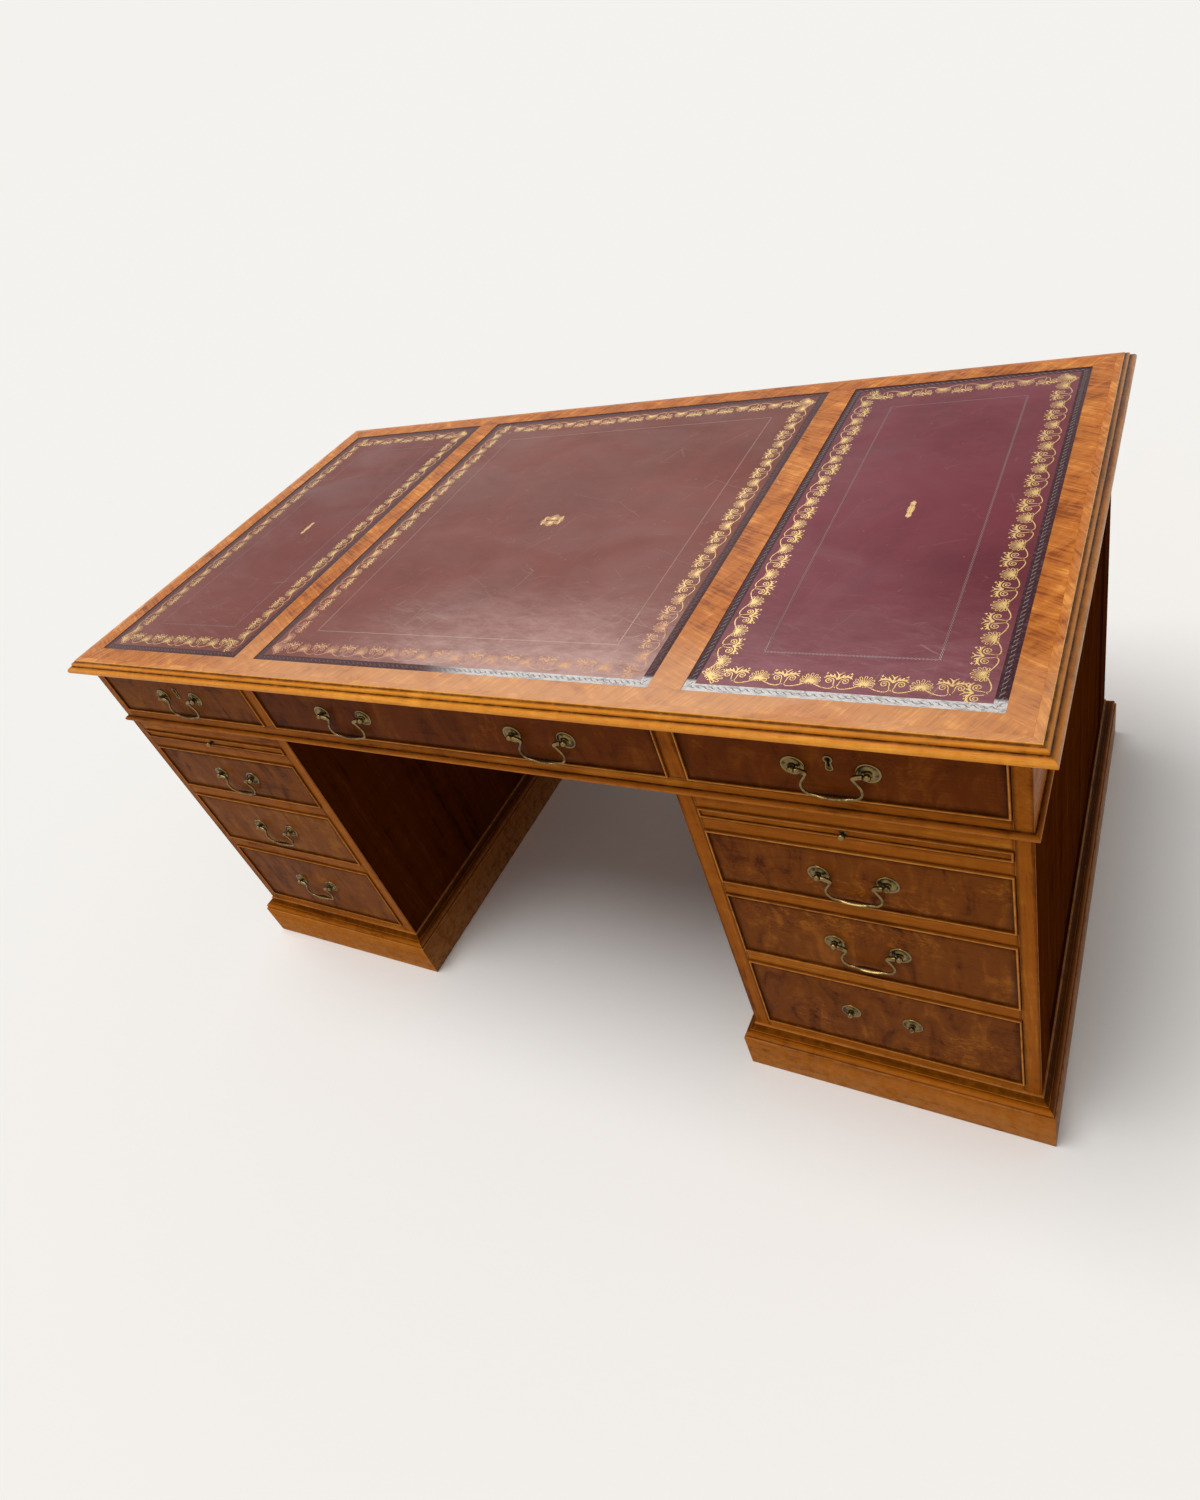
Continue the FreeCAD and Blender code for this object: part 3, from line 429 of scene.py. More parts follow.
def arc_points(start: Vector, via: Vector, end: Vector) -> list[Vector]:
    """Evenly spaced points of an arc through three points of a plane.

    Args:
        start: First point, left out of the result.
        via: Point that the arc goes through.
        end: Last point, in the result.

    Returns:
        The points after the first.
    """
    a, b = via - start, end - start
    cross = a.x * b.y - a.y * b.x
    factor = Vector((b.y * a.length_squared - a.y * b.length_squared,
                     a.x * b.length_squared - b.x * a.length_squared)) / (2 * cross)
    centre = start + factor
    first = math.atan2(*(start - centre).yx)
    sweep = (math.atan2(*(end - centre).yx) - first) % math.tau
    if cross < 0:
        sweep -= math.tau
    count = max(3, round(abs(sweep) / math.radians(18)))
    angles = (first + sweep * k / count for k in range(1, count + 1))
    return [centre + factor.length * Vector((math.cos(angle), math.sin(angle))) for angle in angles]


def trace(outline: Outline) -> list[tuple[Vector, float]]:
    """Points of an outline in metres, each with its tone.

    Args:
        outline: Its rows.

    Returns:
        Place and tone of each point.
    """
    steps = [Step(*row) for row in outline]
    here = Vector((steps[0].x, steps[0].z)) * MM
    traced = [(here, steps[0].tone)]
    for before, step in zip(steps, steps[1:]):
        end = Vector((step.x, step.z)) * MM
        if step.via is None:
            traced.append((end, step.tone))
        else:
            points = arc_points(here, Vector(step.via) * MM, end)
            for index, point in enumerate(points, 1):
                share = 2 * index / len(points)
                first, last = (
                    (before.tone, step.via_tone) if share <= 1 else (step.via_tone, step.tone))
                part = share if share <= 1 else share - 1
                traced.append((point, first * (1 - part) + last * part))
        here = end
    return traced


def draw_line(traced: Sequence[tuple[Vector, float]]) -> Object:
    """Chain of edges in the XZ plane, drawn by extruding one vertex.

    Args:
        traced: Places in the plane, each with its tone.

    Returns:
        The chain; its last vertex is left selected.
    """
    points = [Vector((point.x, 0, point.y)) for point, _ in traced]
    bpy.ops.mesh.primitive_plane_add(size=MM, location=points[0])
    obj = fix_place(bpy.context.object)
    with shaping(obj):
        bpy.ops.mesh.merge(type="CENTER")
        for before, after in zip(points, points[1:]):
            pull(after - before)
    return obj


def mark_section(obj: Object, traced: Sequence[tuple[Vector, float]], round_z: bool = False) -> None:
    """Give each vertex the tone of the nearest point of its section.

    Args:
        obj: Moulding along Y, or a shape turned about Z.
        traced: Points of the section with their tones.
        round_z: Whether the shape is turned about Z.
    """
    def nearest(place: Vector) -> float:
        """Tone of the section's nearest point."""
        flat = Vector((math.hypot(place.x, place.y) if round_z else place.x, place.z))
        return min(traced, key=lambda entry: (entry[0] - flat).length_squared)[1]

    mark_tone(obj, nearest)


def moulding(outline: Outline, half_length: float, grain: Grain = ALONG_Y,
             mitred: bool = True) -> Object:
    """Length of a moulding along Y, its line at x = 0 and x growing outwards.

    Args:
        outline: Section in XZ.
        half_length: Half of its length along its line.
        grain: Direction of its fibres.
        mitred: Whether its ends are cut at 45 degrees.

    Returns:
        The length, at the origin.
    """
    traced = trace(outline)
    reach = half_length + (max(point.x for point, _ in traced) if mitred else 0.0)
    obj = draw_line(traced)
    with shaping(obj):
        bpy.ops.mesh.edge_face_add()
        bpy.ops.transform.translate(value=(0, -reach, 0))
        pull((0, 2 * reach, 0))
        if mitred:
            for end in (-1, 1):
                bpy.ops.mesh.select_all(action="SELECT")
                bpy.ops.mesh.bisect(plane_co=(0, end * half_length, 0),
                                    plane_no=(-1, end, 0), use_fill=True, clear_outer=True)
        face_outwards()
    mark_section(obj, traced)
    mark_grain(obj, grain)
    return obj


def mitred_frame(outline: Outline, half_x: float, half_y: float,
                 grain: Grain = ALONG_Y) -> Object:
    """Four mitred lengths round a rectangle centred at the origin.

    Args:
        outline: Section.
        half_x: Half of the rectangle along X.
        half_y: Half of the rectangle along Y.
        grain: Direction of the fibres in a length that lies along Y.

    Returns:
        The joined frame.
    """
    lengths = []
    for half_length, out, quarters in ((half_y, half_x, (0, 2)), (half_x, half_y, (1, 3))):
        for quarter in quarters:
            length = moulding(outline, half_length, grain)
            lengths.append(put(length, turn(quarter * QUARTER) @ at(out)))
    return join(lengths)


def turned(outline: Outline, sides: int = 28) -> Object:
    """Shape turned about Z from a half section.

    Args:
        outline: Half section, x being the radius.
        sides: Number of sides.

    Returns:
        The turned shape.
    """
    traced = trace(outline)
    obj = draw_line(traced)
    with shaping(obj):
        bpy.ops.mesh.spin(steps=sides, angle=math.tau, center=(0, 0, 0), axis=(0, 0, 1))
        bpy.ops.mesh.select_all(action="SELECT")
        bpy.ops.mesh.remove_doubles(threshold=0.01 * MM)
        face_outwards()
    mark_section(obj, traced, round_z=True)
    return obj


def plate(outline: Outline, zs: Span, soften: float = 0.0) -> Object:
    """Flat plate of an outline drawn in XY.

    Args:
        outline: Outline, its z being Y here.
        zs: Heights of its back and its face.
        soften: Width of the rounding round its edges.

    Returns:
        The plate.
    """
    obj = put(draw_line(trace(outline)), at(z=zs[0]) @ turn(-QUARTER, "X"))
    with shaping(obj):
        bpy.ops.mesh.edge_face_add()
        pull((0, 0, zs[1] - zs[0]))
        face_outwards()
    if soften:
        modify(obj, "BEVEL", width=soften, segments=2, limit_method="ANGLE",
               angle_limit=math.radians(50))
    return obj


def rod(place: Sequence[float], radius: float, length: float, sides: int, tone: float) -> Object:
    """Upright rod with softened ends.

    Args:
        place: Its middle.
        radius: Its radius.
        length: Its length.
        sides: Number of its sides.
        tone: Its wear.

    Returns:
        The rod.
    """
    bpy.ops.mesh.primitive_cylinder_add(vertices=sides, radius=radius, depth=length, location=place)
    obj = fix_place(bpy.context.object)
    modify(obj, "BEVEL", width=0.3 * MM, segments=2, limit_method="ANGLE")
    mark_tone(obj, lambda _: tone)
    return obj


def cut(obj: Object, cutter: Mesh, place: Matrix, grain: Grain | None = None) -> None:
    """Cut a hole through an object.

    Args:
        obj: Object to cut.
        cutter: Shape of the hole.
        place: Where the hole goes.
        grain: Direction of a board's fibres, which are marked anew.
    """
    tool = stamp(cutter, place)
    modify(obj, "BOOLEAN", object=tool, operation="DIFFERENCE", solver="EXACT")
    bpy.data.objects.remove(tool)
    if grain:
        mark_grain(obj, grain)


@dataclass(frozen=True)
class Station:
    """Ring of a swept rod, in millimetres: its place, its heading and its two radii."""

    x: float
    z: float
    heading: float
    thick: float
    deep: float

    def mirrored(self) -> "Station":
        """The same ring on the other side, met on the way back."""
        return Station(-self.x, self.z, -self.heading, self.thick, self.deep)


def sweep(stations: Sequence[Station], sides: int = 12) -> Object:
    """Rod in the XZ plane whose section changes from ring to ring.

    Args:
        stations: Rings in order.
        sides: Sides of the rod.

    Returns:
        The rod, closed at both ends.
    """
    first = stations[0]
    bpy.ops.mesh.primitive_circle_add(
        vertices=sides, radius=first.thick * MM, fill_type="NGON",
        location=(first.x * MM, 0, first.z * MM), rotation=(0, QUARTER - first.heading, 0))
    obj = fix_place(bpy.context.object)
    with shaping(obj):
        for before, after in zip(stations, stations[1:]):
            centre = (after.x * MM, 0, after.z * MM)
            pull(Vector((after.x - before.x, 0, after.z - before.z)) * MM)
            bend = after.heading - before.heading
            if bend:
                bpy.ops.transform.rotate(value=bend, orient_axis="Y", center_override=centre)
            thick, deep = after.thick / before.thick, after.deep / before.deep
            if (thick, deep) != (1.0, 1.0):
                bpy.ops.transform.resize(value=(thick, deep, thick), center_override=centre)
        face_outwards()
    return obj


def strokes(lines: Sequence[Stroke], rise: float, fineness: int = 2) -> Mesh:
    """Pattern of flat raised strokes on the XY plane, each a smooth tapering line.

    Args:
        lines: Control points of each stroke.
        rise: Height of the strokes' ridge above the plane.
        fineness: Steps between two control points.

    Returns:
        The strokes as one mesh.
    """
    curve = bpy.data.curves.new("strokes", "CURVE")
    curve.dimensions = "3D"
    curve.bevel_depth = MM
    curve.bevel_resolution = 0
    curve.use_fill_caps = True
    for line in lines:
        spline = curve.splines.new("NURBS")
        spline.points.add(len(line) - 1)
        for point, (x, y, width) in zip(spline.points, line):
            point.co = (x * MM, y * MM, 0, 1)
            point.radius = width
        spline.order_u = min(3, len(line))
        spline.use_endpoint_u = True
        spline.resolution_u = fineness
    obj = bpy.data.objects.new("strokes", curve)
    bpy.context.scene.collection.objects.link(obj)
    hold(obj)
    bpy.ops.object.convert(target="MESH")
    obj = bpy.context.object
    tallest = max(vertex.co.z for vertex in obj.data.vertices)
    obj.data.transform(Matrix.Scale(rise / tallest, 4, (0, 0, 1)))
    with shaping(obj):
        bpy.ops.mesh.remove_doubles(threshold=0.001 * MM)
        bpy.ops.mesh.normals_make_consistent(inside=False)
    return keep_pattern(obj)


def run_round(unit: Mesh, half_x: float, half_y: float, pitch: float, shift: float) -> list[Object]:
    """Repeat a unit along the four sides of a rectangle, its Y pointing inwards.

    Args:
        unit: Mesh drawn round the origin, X along the border.
        half_x: Half of the rectangle along X.
        half_y: Half of the rectangle along Y.
        pitch: Wanted spacing; the real one divides each side evenly.
        shift: Share of a spacing at which the first unit stands.

    Returns:
        One object for each side.
    """
    sides = []
    for quarter, (along, out) in enumerate(((half_x, half_y), (half_y, half_x)) * 2):
        count = max(1, round(2 * along / pitch))
        gap = 2 * along / count
        row = stamp(unit, Matrix.Identity(4))
        modify(row, "ARRAY", count=count, use_relative_offset=False,
               use_constant_offset=True, constant_offset_displace=(gap, 0, 0))
        sides.append(put(row, turn(quarter * QUARTER) @ at(-along + gap * shift, -out)))
    return sides


# ---- recipes for the finishes
class Recipe:
    """Node tree that is being written; its methods add nodes and give back their outputs."""

    def __init__(self, tree: Tree) -> None:
        """Start on an empty tree."""
        self.tree = tree

    def feed(self, node: Node, values: Mapping[int | str, Any]) -> Node:
        """Link outputs of other nodes to a node's inputs, or set their plain values.

        Args:
            node: Node to feed.
            values: What goes into its inputs.

        Returns:
            The same node.
        """
        for key, value in values.items():
            socket = node.inputs[key]
            if isinstance(value, Socket):
                self.tree.links.new(value, socket)
            elif socket.type == "RGBA":
                socket.default_value = (*value, 1.0)
            else:
                socket.default_value = value
        return node

    def node(self, kind: str, feeds: Mapping[int | str, Any] | None = None,
             **settings: Any) -> Node:
        """Add a node.

        Args:
            kind: Its type.
            feeds: What goes into its inputs.
            settings: Its own settings.

        Returns:
            The node.
        """
        node = self.tree.nodes.new(kind)
        for name, value in settings.items():
            setattr(node, name, value)
        return self.feed(node, feeds or {})

    def out(self, kind: str, feeds: Mapping[int | str, Any], **settings: Any) -> Socket:
        """First output of a new node."""
        return self.node(kind, feeds, **settings).outputs[0]

    def calc(self, operation: str, first: Any, second: Any, clamp: bool = False) -> Socket:
        """Arithmetic on two values."""
        return self.out("ShaderNodeMath", {0: first, 1: second}, operation=operation, use_clamp=clamp)

    def times(self, first: Any, second: Any, *more: Any) -> Socket:
        """Product of two or more values."""
        product = self.calc("MULTIPLY", first, second)
        return self.times(product, *more) if more else product

    def plus(self, first: Any, second: Any) -> Socket:
        """Sum of two values."""
        return self.calc("ADD", first, second)

    def most(self, first: Any, second: Any) -> Socket:
        """Larger of two values."""
        return self.calc("MAXIMUM", first, second)

    def stretch(self, vector: Any, by: Scale) -> Socket:
        """Vector multiplied by one number, or axis by axis."""
        factors = (by, by, by) if isinstance(by, float) else by
        return self.out("ShaderNodeVectorMath", {0: vector, 1: factors}, operation="MULTIPLY")

    def shift(self, vector: Any, by: Any) -> Socket:
        """Sum of two vectors."""
        return self.out("ShaderNodeVectorMath", {0: vector, 1: by}, operation="ADD")

    def rotate(self, vector: Any, angle: float) -> Socket:
        """Vector turned about Z."""
        return self.out(
            "ShaderNodeVectorRotate", {"Vector": vector, "Angle": angle}, rotation_type="Z_AXIS")

    def noise(self, vector: Any, scale: Scale, detail: float = 2.0,
              rough: float = 0.5, distortion: float = 0.0) -> Socket:
        """Noise from 0 to 1 at a scale of its own along each axis."""
        return self.out("ShaderNodeTexNoise", {
            "Vector": self.stretch(vector, scale), "Scale": 1.0, "Detail": detail,
            "Roughness": rough, "Distortion": distortion})

    def sway(self, vector: Any, scale: Sequence[float], reach: Sequence[float]) -> Socket:
        """Vector shifted to and fro by noise, as far as a reach along each axis."""
        noise = self.node("ShaderNodeTexNoise", {"Vector": self.stretch(vector, scale),
                                                 "Scale": 1.0, "Detail": 2.0}).outputs[1]
        return self.shift(vector, self.stretch(self.shift(noise, (-0.5, -0.5, -0.5)), reach))

    def cells(self, vector: Any, scale: Scale, feature: str = "F1") -> Any:
        """Outputs of Voronoi cells at a scale of its own along each axis."""
        return self.node("ShaderNodeTexVoronoi", {"Vector": self.stretch(vector, scale),
                                                  "Scale": 1.0}, feature=feature).outputs

    def ramp(self, value: Any, low: float, high: float, bottom: float = 0.0,
             top: float = 1.0) -> Socket:
        """Smooth step of a value from one range to another."""
        return self.out("ShaderNodeMapRange", {0: value, 1: low, 2: high, 3: bottom, 4: top},
                        interpolation_type="SMOOTHSTEP")

    def mix(self, factor: Any, first: Any, second: Any) -> Socket:
        """Mix of two colours."""
        return self.node("ShaderNodeMix", {0: factor, 6: first, 7: second}, data_type="RGBA").outputs[2]

    def bump(self, height: Any, distance: float, strength: float) -> Socket:
        """Normal that a height in metres gives."""
        return self.out(
            "ShaderNodeBump", {"Height": height, "Distance": distance, "Strength": strength})

    def attribute(self, name: str) -> Any:
        """Outputs of a mesh attribute."""
        return self.node("ShaderNodeAttribute", attribute_name=name).outputs

    def place(self) -> Socket:
        """Place on the object, in metres."""
        return self.node("ShaderNodeTexCoord").outputs["Object"]

    def axes(self, vector: Any) -> Any:
        """X, Y and Z of a vector."""
        return self.node("ShaderNodeSeparateXYZ", {0: vector}).outputs

    def effect(self, tree: Tree, feeds: Mapping[str, Any]) -> Any:
        """Outputs of a shared effect with its values."""
        return self.node("ShaderNodeGroup", feeds, node_tree=tree).outputs


def new_group(name: str, inputs: Mapping[str, str], outputs: Mapping[str, str]
              ) -> tuple[Recipe, Any, Node]:
    """Empty shader group with named sockets.

    Args:
        name: Name of the group.
        inputs: Input names and their kinds.
        outputs: Output names and their kinds.

    Returns:
        Its recipe, what it is given and its output node.
    """
    tree = bpy.data.node_groups.new(name, "ShaderNodeTree")
    for in_out, sockets in (("INPUT", inputs), ("OUTPUT", outputs)):
        for title, kind in sockets.items():
            tree.interface.new_socket(name=title, in_out=in_out, socket_type=f"NodeSocket{kind}")
    make = Recipe(tree)
    return make, make.node("NodeGroupInput").outputs, make.node("NodeGroupOutput")


@cache
def figured_wood() -> Tree:
    """Figure of polished wood: growth bands, fibres, flames, flecks and burr clusters."""
    make, given, result = new_group(
        "figured_wood",
        {"Place": "Vector", "Light": "Color", "Middle": "Color", "Dark": "Color",
         "Bands": "Float", "Fibres": "Float", "Flames": "Float", "Burr": "Float"},
        {"Colour": "Color", "Height": "Float"})
    place = given["Place"]
    bent = make.sway(place, (3.0, 10.0, 10.0), (0.0, 0.024, 0.024))
    bent = make.sway(bent, (18.0, 70.0, 70.0), (0.0, 0.0030, 0.0030))
    bands = make.noise(bent, (1.8, 40.0, 40.0), detail=3.0, rough=0.55)
    fibres = make.noise(bent, (15.0, 250.0, 250.0), detail=3.0, rough=0.65)
    flames = make.noise(bent, (32.0, 13.0, 13.0), detail=5.0, rough=0.62, distortion=0.9)
    boards = make.noise(place, 0.9)
    figure: Any = 0.5
    for part, weight in ((bands, given["Bands"]), (fibres, given["Fibres"]),
                         (flames, given["Flames"]), (boards, 0.35)):
        figure = make.plus(figure, make.times(make.calc("SUBTRACT", part, 0.5), weight))
    swirl = make.noise(place, (44.0, 60.0, 60.0), detail=4.0, rough=0.62, distortion=2.4)
    cluster = make.ramp(make.noise(place, (7.0, 11.0, 11.0), detail=4.0), 0.44, 0.62)
    cluster = make.times(cluster, given["Burr"])
    figure = make.plus(figure, make.times(cluster, make.times(
        make.calc("SUBTRACT", swirl, 0.44), 0.75)))
    colour = make.mix(make.ramp(figure, 0.28, 0.50), given["Dark"], given["Middle"])
    colour = make.mix(make.ramp(figure, 0.50, 0.74), colour, given["Light"])
    jitter = make.sway(place, (90.0, 90.0, 90.0), (0.005, 0.005, 0.005))
    pips = make.cells(jitter, (190.0, 260.0, 260.0))
    eyes = make.times(
        make.ramp(pips["Distance"], 0.34, 0.12), cluster, make.ramp(pips["Color"], 0.45, 0.60))
    flecks = make.ramp(make.noise(bent, (55.0, 850.0, 850.0), detail=1.0), 0.60, 0.72)
    shade = make.most(make.times(eyes, 0.95), make.times(flecks, 0.32))
    make.feed(result, {"Colour": make.mix(shade, colour, given["Dark"]),
                       "Height": make.calc("SUBTRACT", fibres, shade)})
    return make.tree


@cache
def edge_tone() -> Tree:
    """Rubbed arrises, some with a painted highlight, and dirt with painted shade in the grooves, broken
    up by noise.
    """
    make, given, result = new_group(
        "edge_tone",
        {"Place": "Vector", "Colour": "Color", "Tone": "Float", "Rubbed": "Color",
         "Dirt": "Color"},
        {"Colour": "Color"})
    patch = make.noise(given["Place"], 75.0, detail=3.0, rough=0.7)
    rubbed = make.times(make.most(given["Tone"], 0.0), make.ramp(patch, 0.30, 0.60, 0.25, 1.0))
    dirt = make.times(
        make.calc("MULTIPLY", given["Tone"], -1.0, clamp=True), make.ramp(patch, 0.72, 0.40, 0.72, 1.0))
    colour = make.mix(rubbed, given["Colour"], given["Rubbed"])
    make.feed(result, {"Colour": make.mix(dirt, colour, given["Dirt"])})
    return make.tree


@cache
def scuffs() -> Tree:
    """Traces of use as three masks: hair scratches, pale specks and smears."""
    make, given, result = new_group("scuffs", {"Place": "Vector"},
                                    {"Scratches": "Float", "Specks": "Float", "Smears": "Float"})
    place = given["Place"]
    bent = make.sway(place, (6.0, 6.0, 6.0), (0.05, 0.05, 0.0))
    scratches: Any = 0.0
    for angle, along, across, width in ((0.5, 2.5, 11.0, 0.004), (2.0, 4.0, 21.0, 0.007),
                                        (2.9, 9.0, 47.0, 0.011)):
        slanted = make.rotate(bent, angle)
        edge = make.cells(slanted, (along, across, 1.0), "DISTANCE_TO_EDGE")
        gate = make.noise(slanted, (along * 3.0, across * 1.5, 1.0))
        scratches = make.most(scratches, make.times(
            make.ramp(edge["Distance"], width, width * 0.3), make.ramp(gate, 0.54, 0.64)))
    dots = make.cells(place, 60.0)
    make.feed(result, {
        "Scratches": scratches,
        "Specks": make.times(make.ramp(dots["Distance"], 0.060, 0.025),
                             make.ramp(dots["Color"], 0.60, 0.64)),
        "Smears": make.noise(place, (6.0, 9.0, 9.0), detail=4.0, rough=0.6, distortion=0.6)})
    return make.tree


@dataclass(frozen=True)
class Finish:
    """Finish of a piece and the material slot of the record that it stands for."""

    name: str
    slot: str

    def start(self) -> tuple[Recipe, Material, Node]:
        """Empty material with its main shader.

        Returns:
            Its recipe, the material and the shader node.
        """
        material = bpy.data.materials.new(self.name)
        material.use_nodes = True
        material.node_tree.nodes.clear()
        make = Recipe(material.node_tree)
        shader = make.node("ShaderNodeBsdfPrincipled")
        make.node("ShaderNodeOutputMaterial", {"Surface": shader.outputs[0]})
        return make, material, shader

    def material(self) -> Material:
        """Material of this finish."""
        raise NotImplementedError


@dataclass(frozen=True)
class WoodFinish(Finish):
    """Stained and polished wood."""

    light: Colour
    middle: Colour
    dark: Colour
    # colour of rubbed arrises and scratches; on some arrises and noses it is also a painted highlight
    rubbed: Colour = (0.52, 0.24, 0.085)
    # colour in the grooves: dirt and painted shade
    dirt: Colour = (0.018, 0.005, 0.001)
    bands: float = 0.55
    fibres: float = 0.40
    flames: float = 0.30
    burr: float = 0.0
    rough: float = 0.30
    gloss: float = 0.015
    scratched: float = 0.0
    slant: float = 0.0           # angle of the fibres to the board
    bleached: Colour = (0.0, 0.0, 0.0)
    bleach: float = 0.0          # share of the paler colour along the front edge: painted glare, and bleaching

    def material(self) -> Material:
        """Material of this wood."""
        make, material, shader = self.start()
        place = make.place()
        wood = make.effect(figured_wood(), {
            "Place": make.rotate(make.attribute(GRAIN)["Vector"], self.slant),
            "Light": self.light, "Middle": self.middle, "Dark": self.dark, "Bands": self.bands,
            "Fibres": self.fibres, "Flames": self.flames, "Burr": self.burr})
        aged = make.effect(edge_tone(), {
            "Place": place, "Colour": wood["Colour"], "Tone": make.attribute(TONE)["Fac"],
            "Rubbed": self.rubbed, "Dirt": self.dirt})
        marks = make.effect(scuffs(), {"Place": place})
        axes = make.axes(place)
        # Paler along the front edge, less towards the ends: painted glare, and bleaching.
        along = make.calc("SUBTRACT", make.ramp(axes["X"], -0.70, -0.15, 0.1, 1.0),
                          make.ramp(axes["X"], 0.55, 0.80, 0.0, 0.45))
        pale = make.times(make.ramp(axes["Y"], -0.24, -0.41, 0.0, self.bleach), make.times(
            along, make.ramp(marks["Smears"], 0.30, 0.56, 0.55, 1.0)))
        scratch = make.times(marks["Scratches"], self.scratched)
        rough = make.ramp(marks["Smears"], 0.3, 0.7, self.rough - 0.06, self.rough + 0.10)
        colour = make.mix(pale, aged["Colour"], self.bleached)
        make.feed(shader, {
            "Base Color": make.mix(scratch, colour, self.rubbed),
            "Roughness": make.plus(rough, make.times(scratch, 0.2)),
            "Normal": make.bump(wood["Height"], 0.05 * MM, 0.35),
            "Specular IOR Level": self.gloss})
        return material


@dataclass(frozen=True)
class LeatherFinish(Finish):
    """Burgundy hide, dyed, tooled and long in use."""

    base: Colour
    faded: Colour
    deep: Colour
    scuffed: Colour = (0.40, 0.26, 0.25)
    fade_from: float = -0.05
    fade_left: float = 1.0       # share of the fading at the left end of the middle panel
    wear: float = 0.5
    rough: float = 0.42

    def material(self) -> Material:
        """Material of this hide."""
        make, material, shader = self.start()
        place = make.place()
        axes = make.axes(place)
        marks = make.effect(scuffs(), {"Place": place})
        clouds = make.noise(place, 3.2, detail=9.0, rough=0.74, distortion=0.3)
        colour = make.mix(make.ramp(clouds, 0.34, 0.62), self.deep, self.base)
        front = make.times(make.ramp(axes["X"], -0.30, 0.05, self.fade_left, 1.0),
                           make.ramp(axes["Y"], self.fade_from, self.fade_from - 0.30))
        patches = make.noise(place, (14.0, 36.0, 14.0), detail=9.0, rough=0.80, distortion=0.3)
        patches = make.ramp(make.plus(patches, make.times(front, 0.12)), 0.34, 0.86, 0.30, 1.0)
        colour = make.mix(make.times(front, patches, self.wear), colour, self.faded)
        wipes = make.noise(
            make.rotate(place, 0.35), (13.0, 75.0, 1.0), detail=7.0, rough=0.74, distortion=0.5)
        wipes = make.times(make.ramp(wipes, 0.53, 0.70), make.times(front, self.wear * 0.45))
        hairs = make.times(marks["Scratches"], make.plus(make.times(front, self.wear * 0.5), 0.12))
        worn = make.most(make.most(wipes, hairs), make.times(marks["Specks"], 0.55))
        pebble = make.cells(place, 1150.0, "SMOOTH_F1")["Distance"]
        height = make.plus(
            make.times(pebble, 0.35), make.times(make.noise(place, 210.0, detail=3.0), 0.8))
        make.feed(shader, {
            "Base Color": make.mix(worn, colour, self.scuffed),
            "Roughness": make.ramp(marks["Smears"], 0.30, 0.70, self.rough - 0.07,
                                   self.rough + 0.10),
            "Normal": make.bump(height, 0.12 * MM, 0.45),
            "Specular IOR Level": 0.13})
        return material


@dataclass(frozen=True)
class ToolingFinish(Finish):
    """Hide that a heated roll has pressed, dark and glossy, whitened by old wax."""

    base: Colour
    waxed: Colour
    wax_from: float
    wax_to: float
    front: float = -0.380

    def material(self) -> Material:
        """Material of the pressed band."""
        make, material, shader = self.start()
        place = make.place()
        axes = make.axes(place)
        near_front = make.ramp(axes["Y"], self.front + 0.004, self.front - 0.003)
        along = make.ramp(axes["X"], self.wax_from, self.wax_to)
        crazed = make.noise(place, (90.0, 210.0, 90.0), detail=5.0, rough=0.75, distortion=0.8)
        wax = make.times(near_front, along, make.ramp(crazed, 0.36, 0.56, 0.50, 1.0))
        soft = make.noise(place, 260.0, detail=3.0)
        haze = make.times(make.ramp(soft, 0.50, 0.72), 0.07)
        make.feed(shader, {
            "Base Color": make.mix(make.most(wax, haze), self.base, self.waxed),
            "Roughness": make.ramp(soft, 0.3, 0.7, 0.26, 0.44),
            "Normal": make.bump(crazed, 0.20 * MM, 0.5),
            "Specular IOR Level": 0.04})
        return material


@dataclass(frozen=True)
class MetalFinish(Finish):
    """Brass or gold leaf, with tarnish in its hollows."""

    bright: Colour
    tarnish: Colour
    cover: float = 0.5
    rough: float = 0.30
    patch_scale: float = 180.0
    metallic: float = 1.0
    front_wear: float = 0.0      # tarnish that elbows have added along the front

    def material(self) -> Material:
        """Material of this metal."""
        make, material, shader = self.start()
        place = make.place()
        patches = make.noise(place, self.patch_scale, detail=5.0, rough=0.65)
        dull = make.ramp(patches, 0.70 - 0.4 * self.cover, 0.80 - 0.2 * self.cover)
        if self.front_wear:
            dull = make.plus(dull, make.ramp(make.axes(place)["Y"], -0.12, -0.34, 0.0, self.front_wear))
        dull = make.calc("SUBTRACT", dull, make.attribute(TONE)["Fac"], clamp=True)
        make.feed(shader, {
            "Base Color": make.mix(dull, self.bright, self.tarnish),
            "Roughness": make.plus(make.times(dull, 0.18), self.rough),
            "Normal": make.bump(patches, 0.05 * MM, 0.3),
            "Metallic": self.metallic})
        return material


@cache
def material_of(finish: Finish) -> Material:
    """Material of a finish, made once."""
    return finish.material()


# Woods: light, middle and dark tone.
YEW = WoodFinish(
    "polished_yew", "yew", (0.50, 0.170, 0.016), (0.33, 0.090, 0.006), (0.120, 0.025, 0.002))
# Brighter copy for the front and rear lengths of the top's edge: painted light.
LIT_EDGE_YEW = WoodFinish("edge_yew", "yew", (0.92, 0.365, 0.034), (0.67, 0.212, 0.013),
                      (0.22, 0.052, 0.004), rubbed=(0.95, 0.49, 0.12), rough=0.22, gloss=0.06)
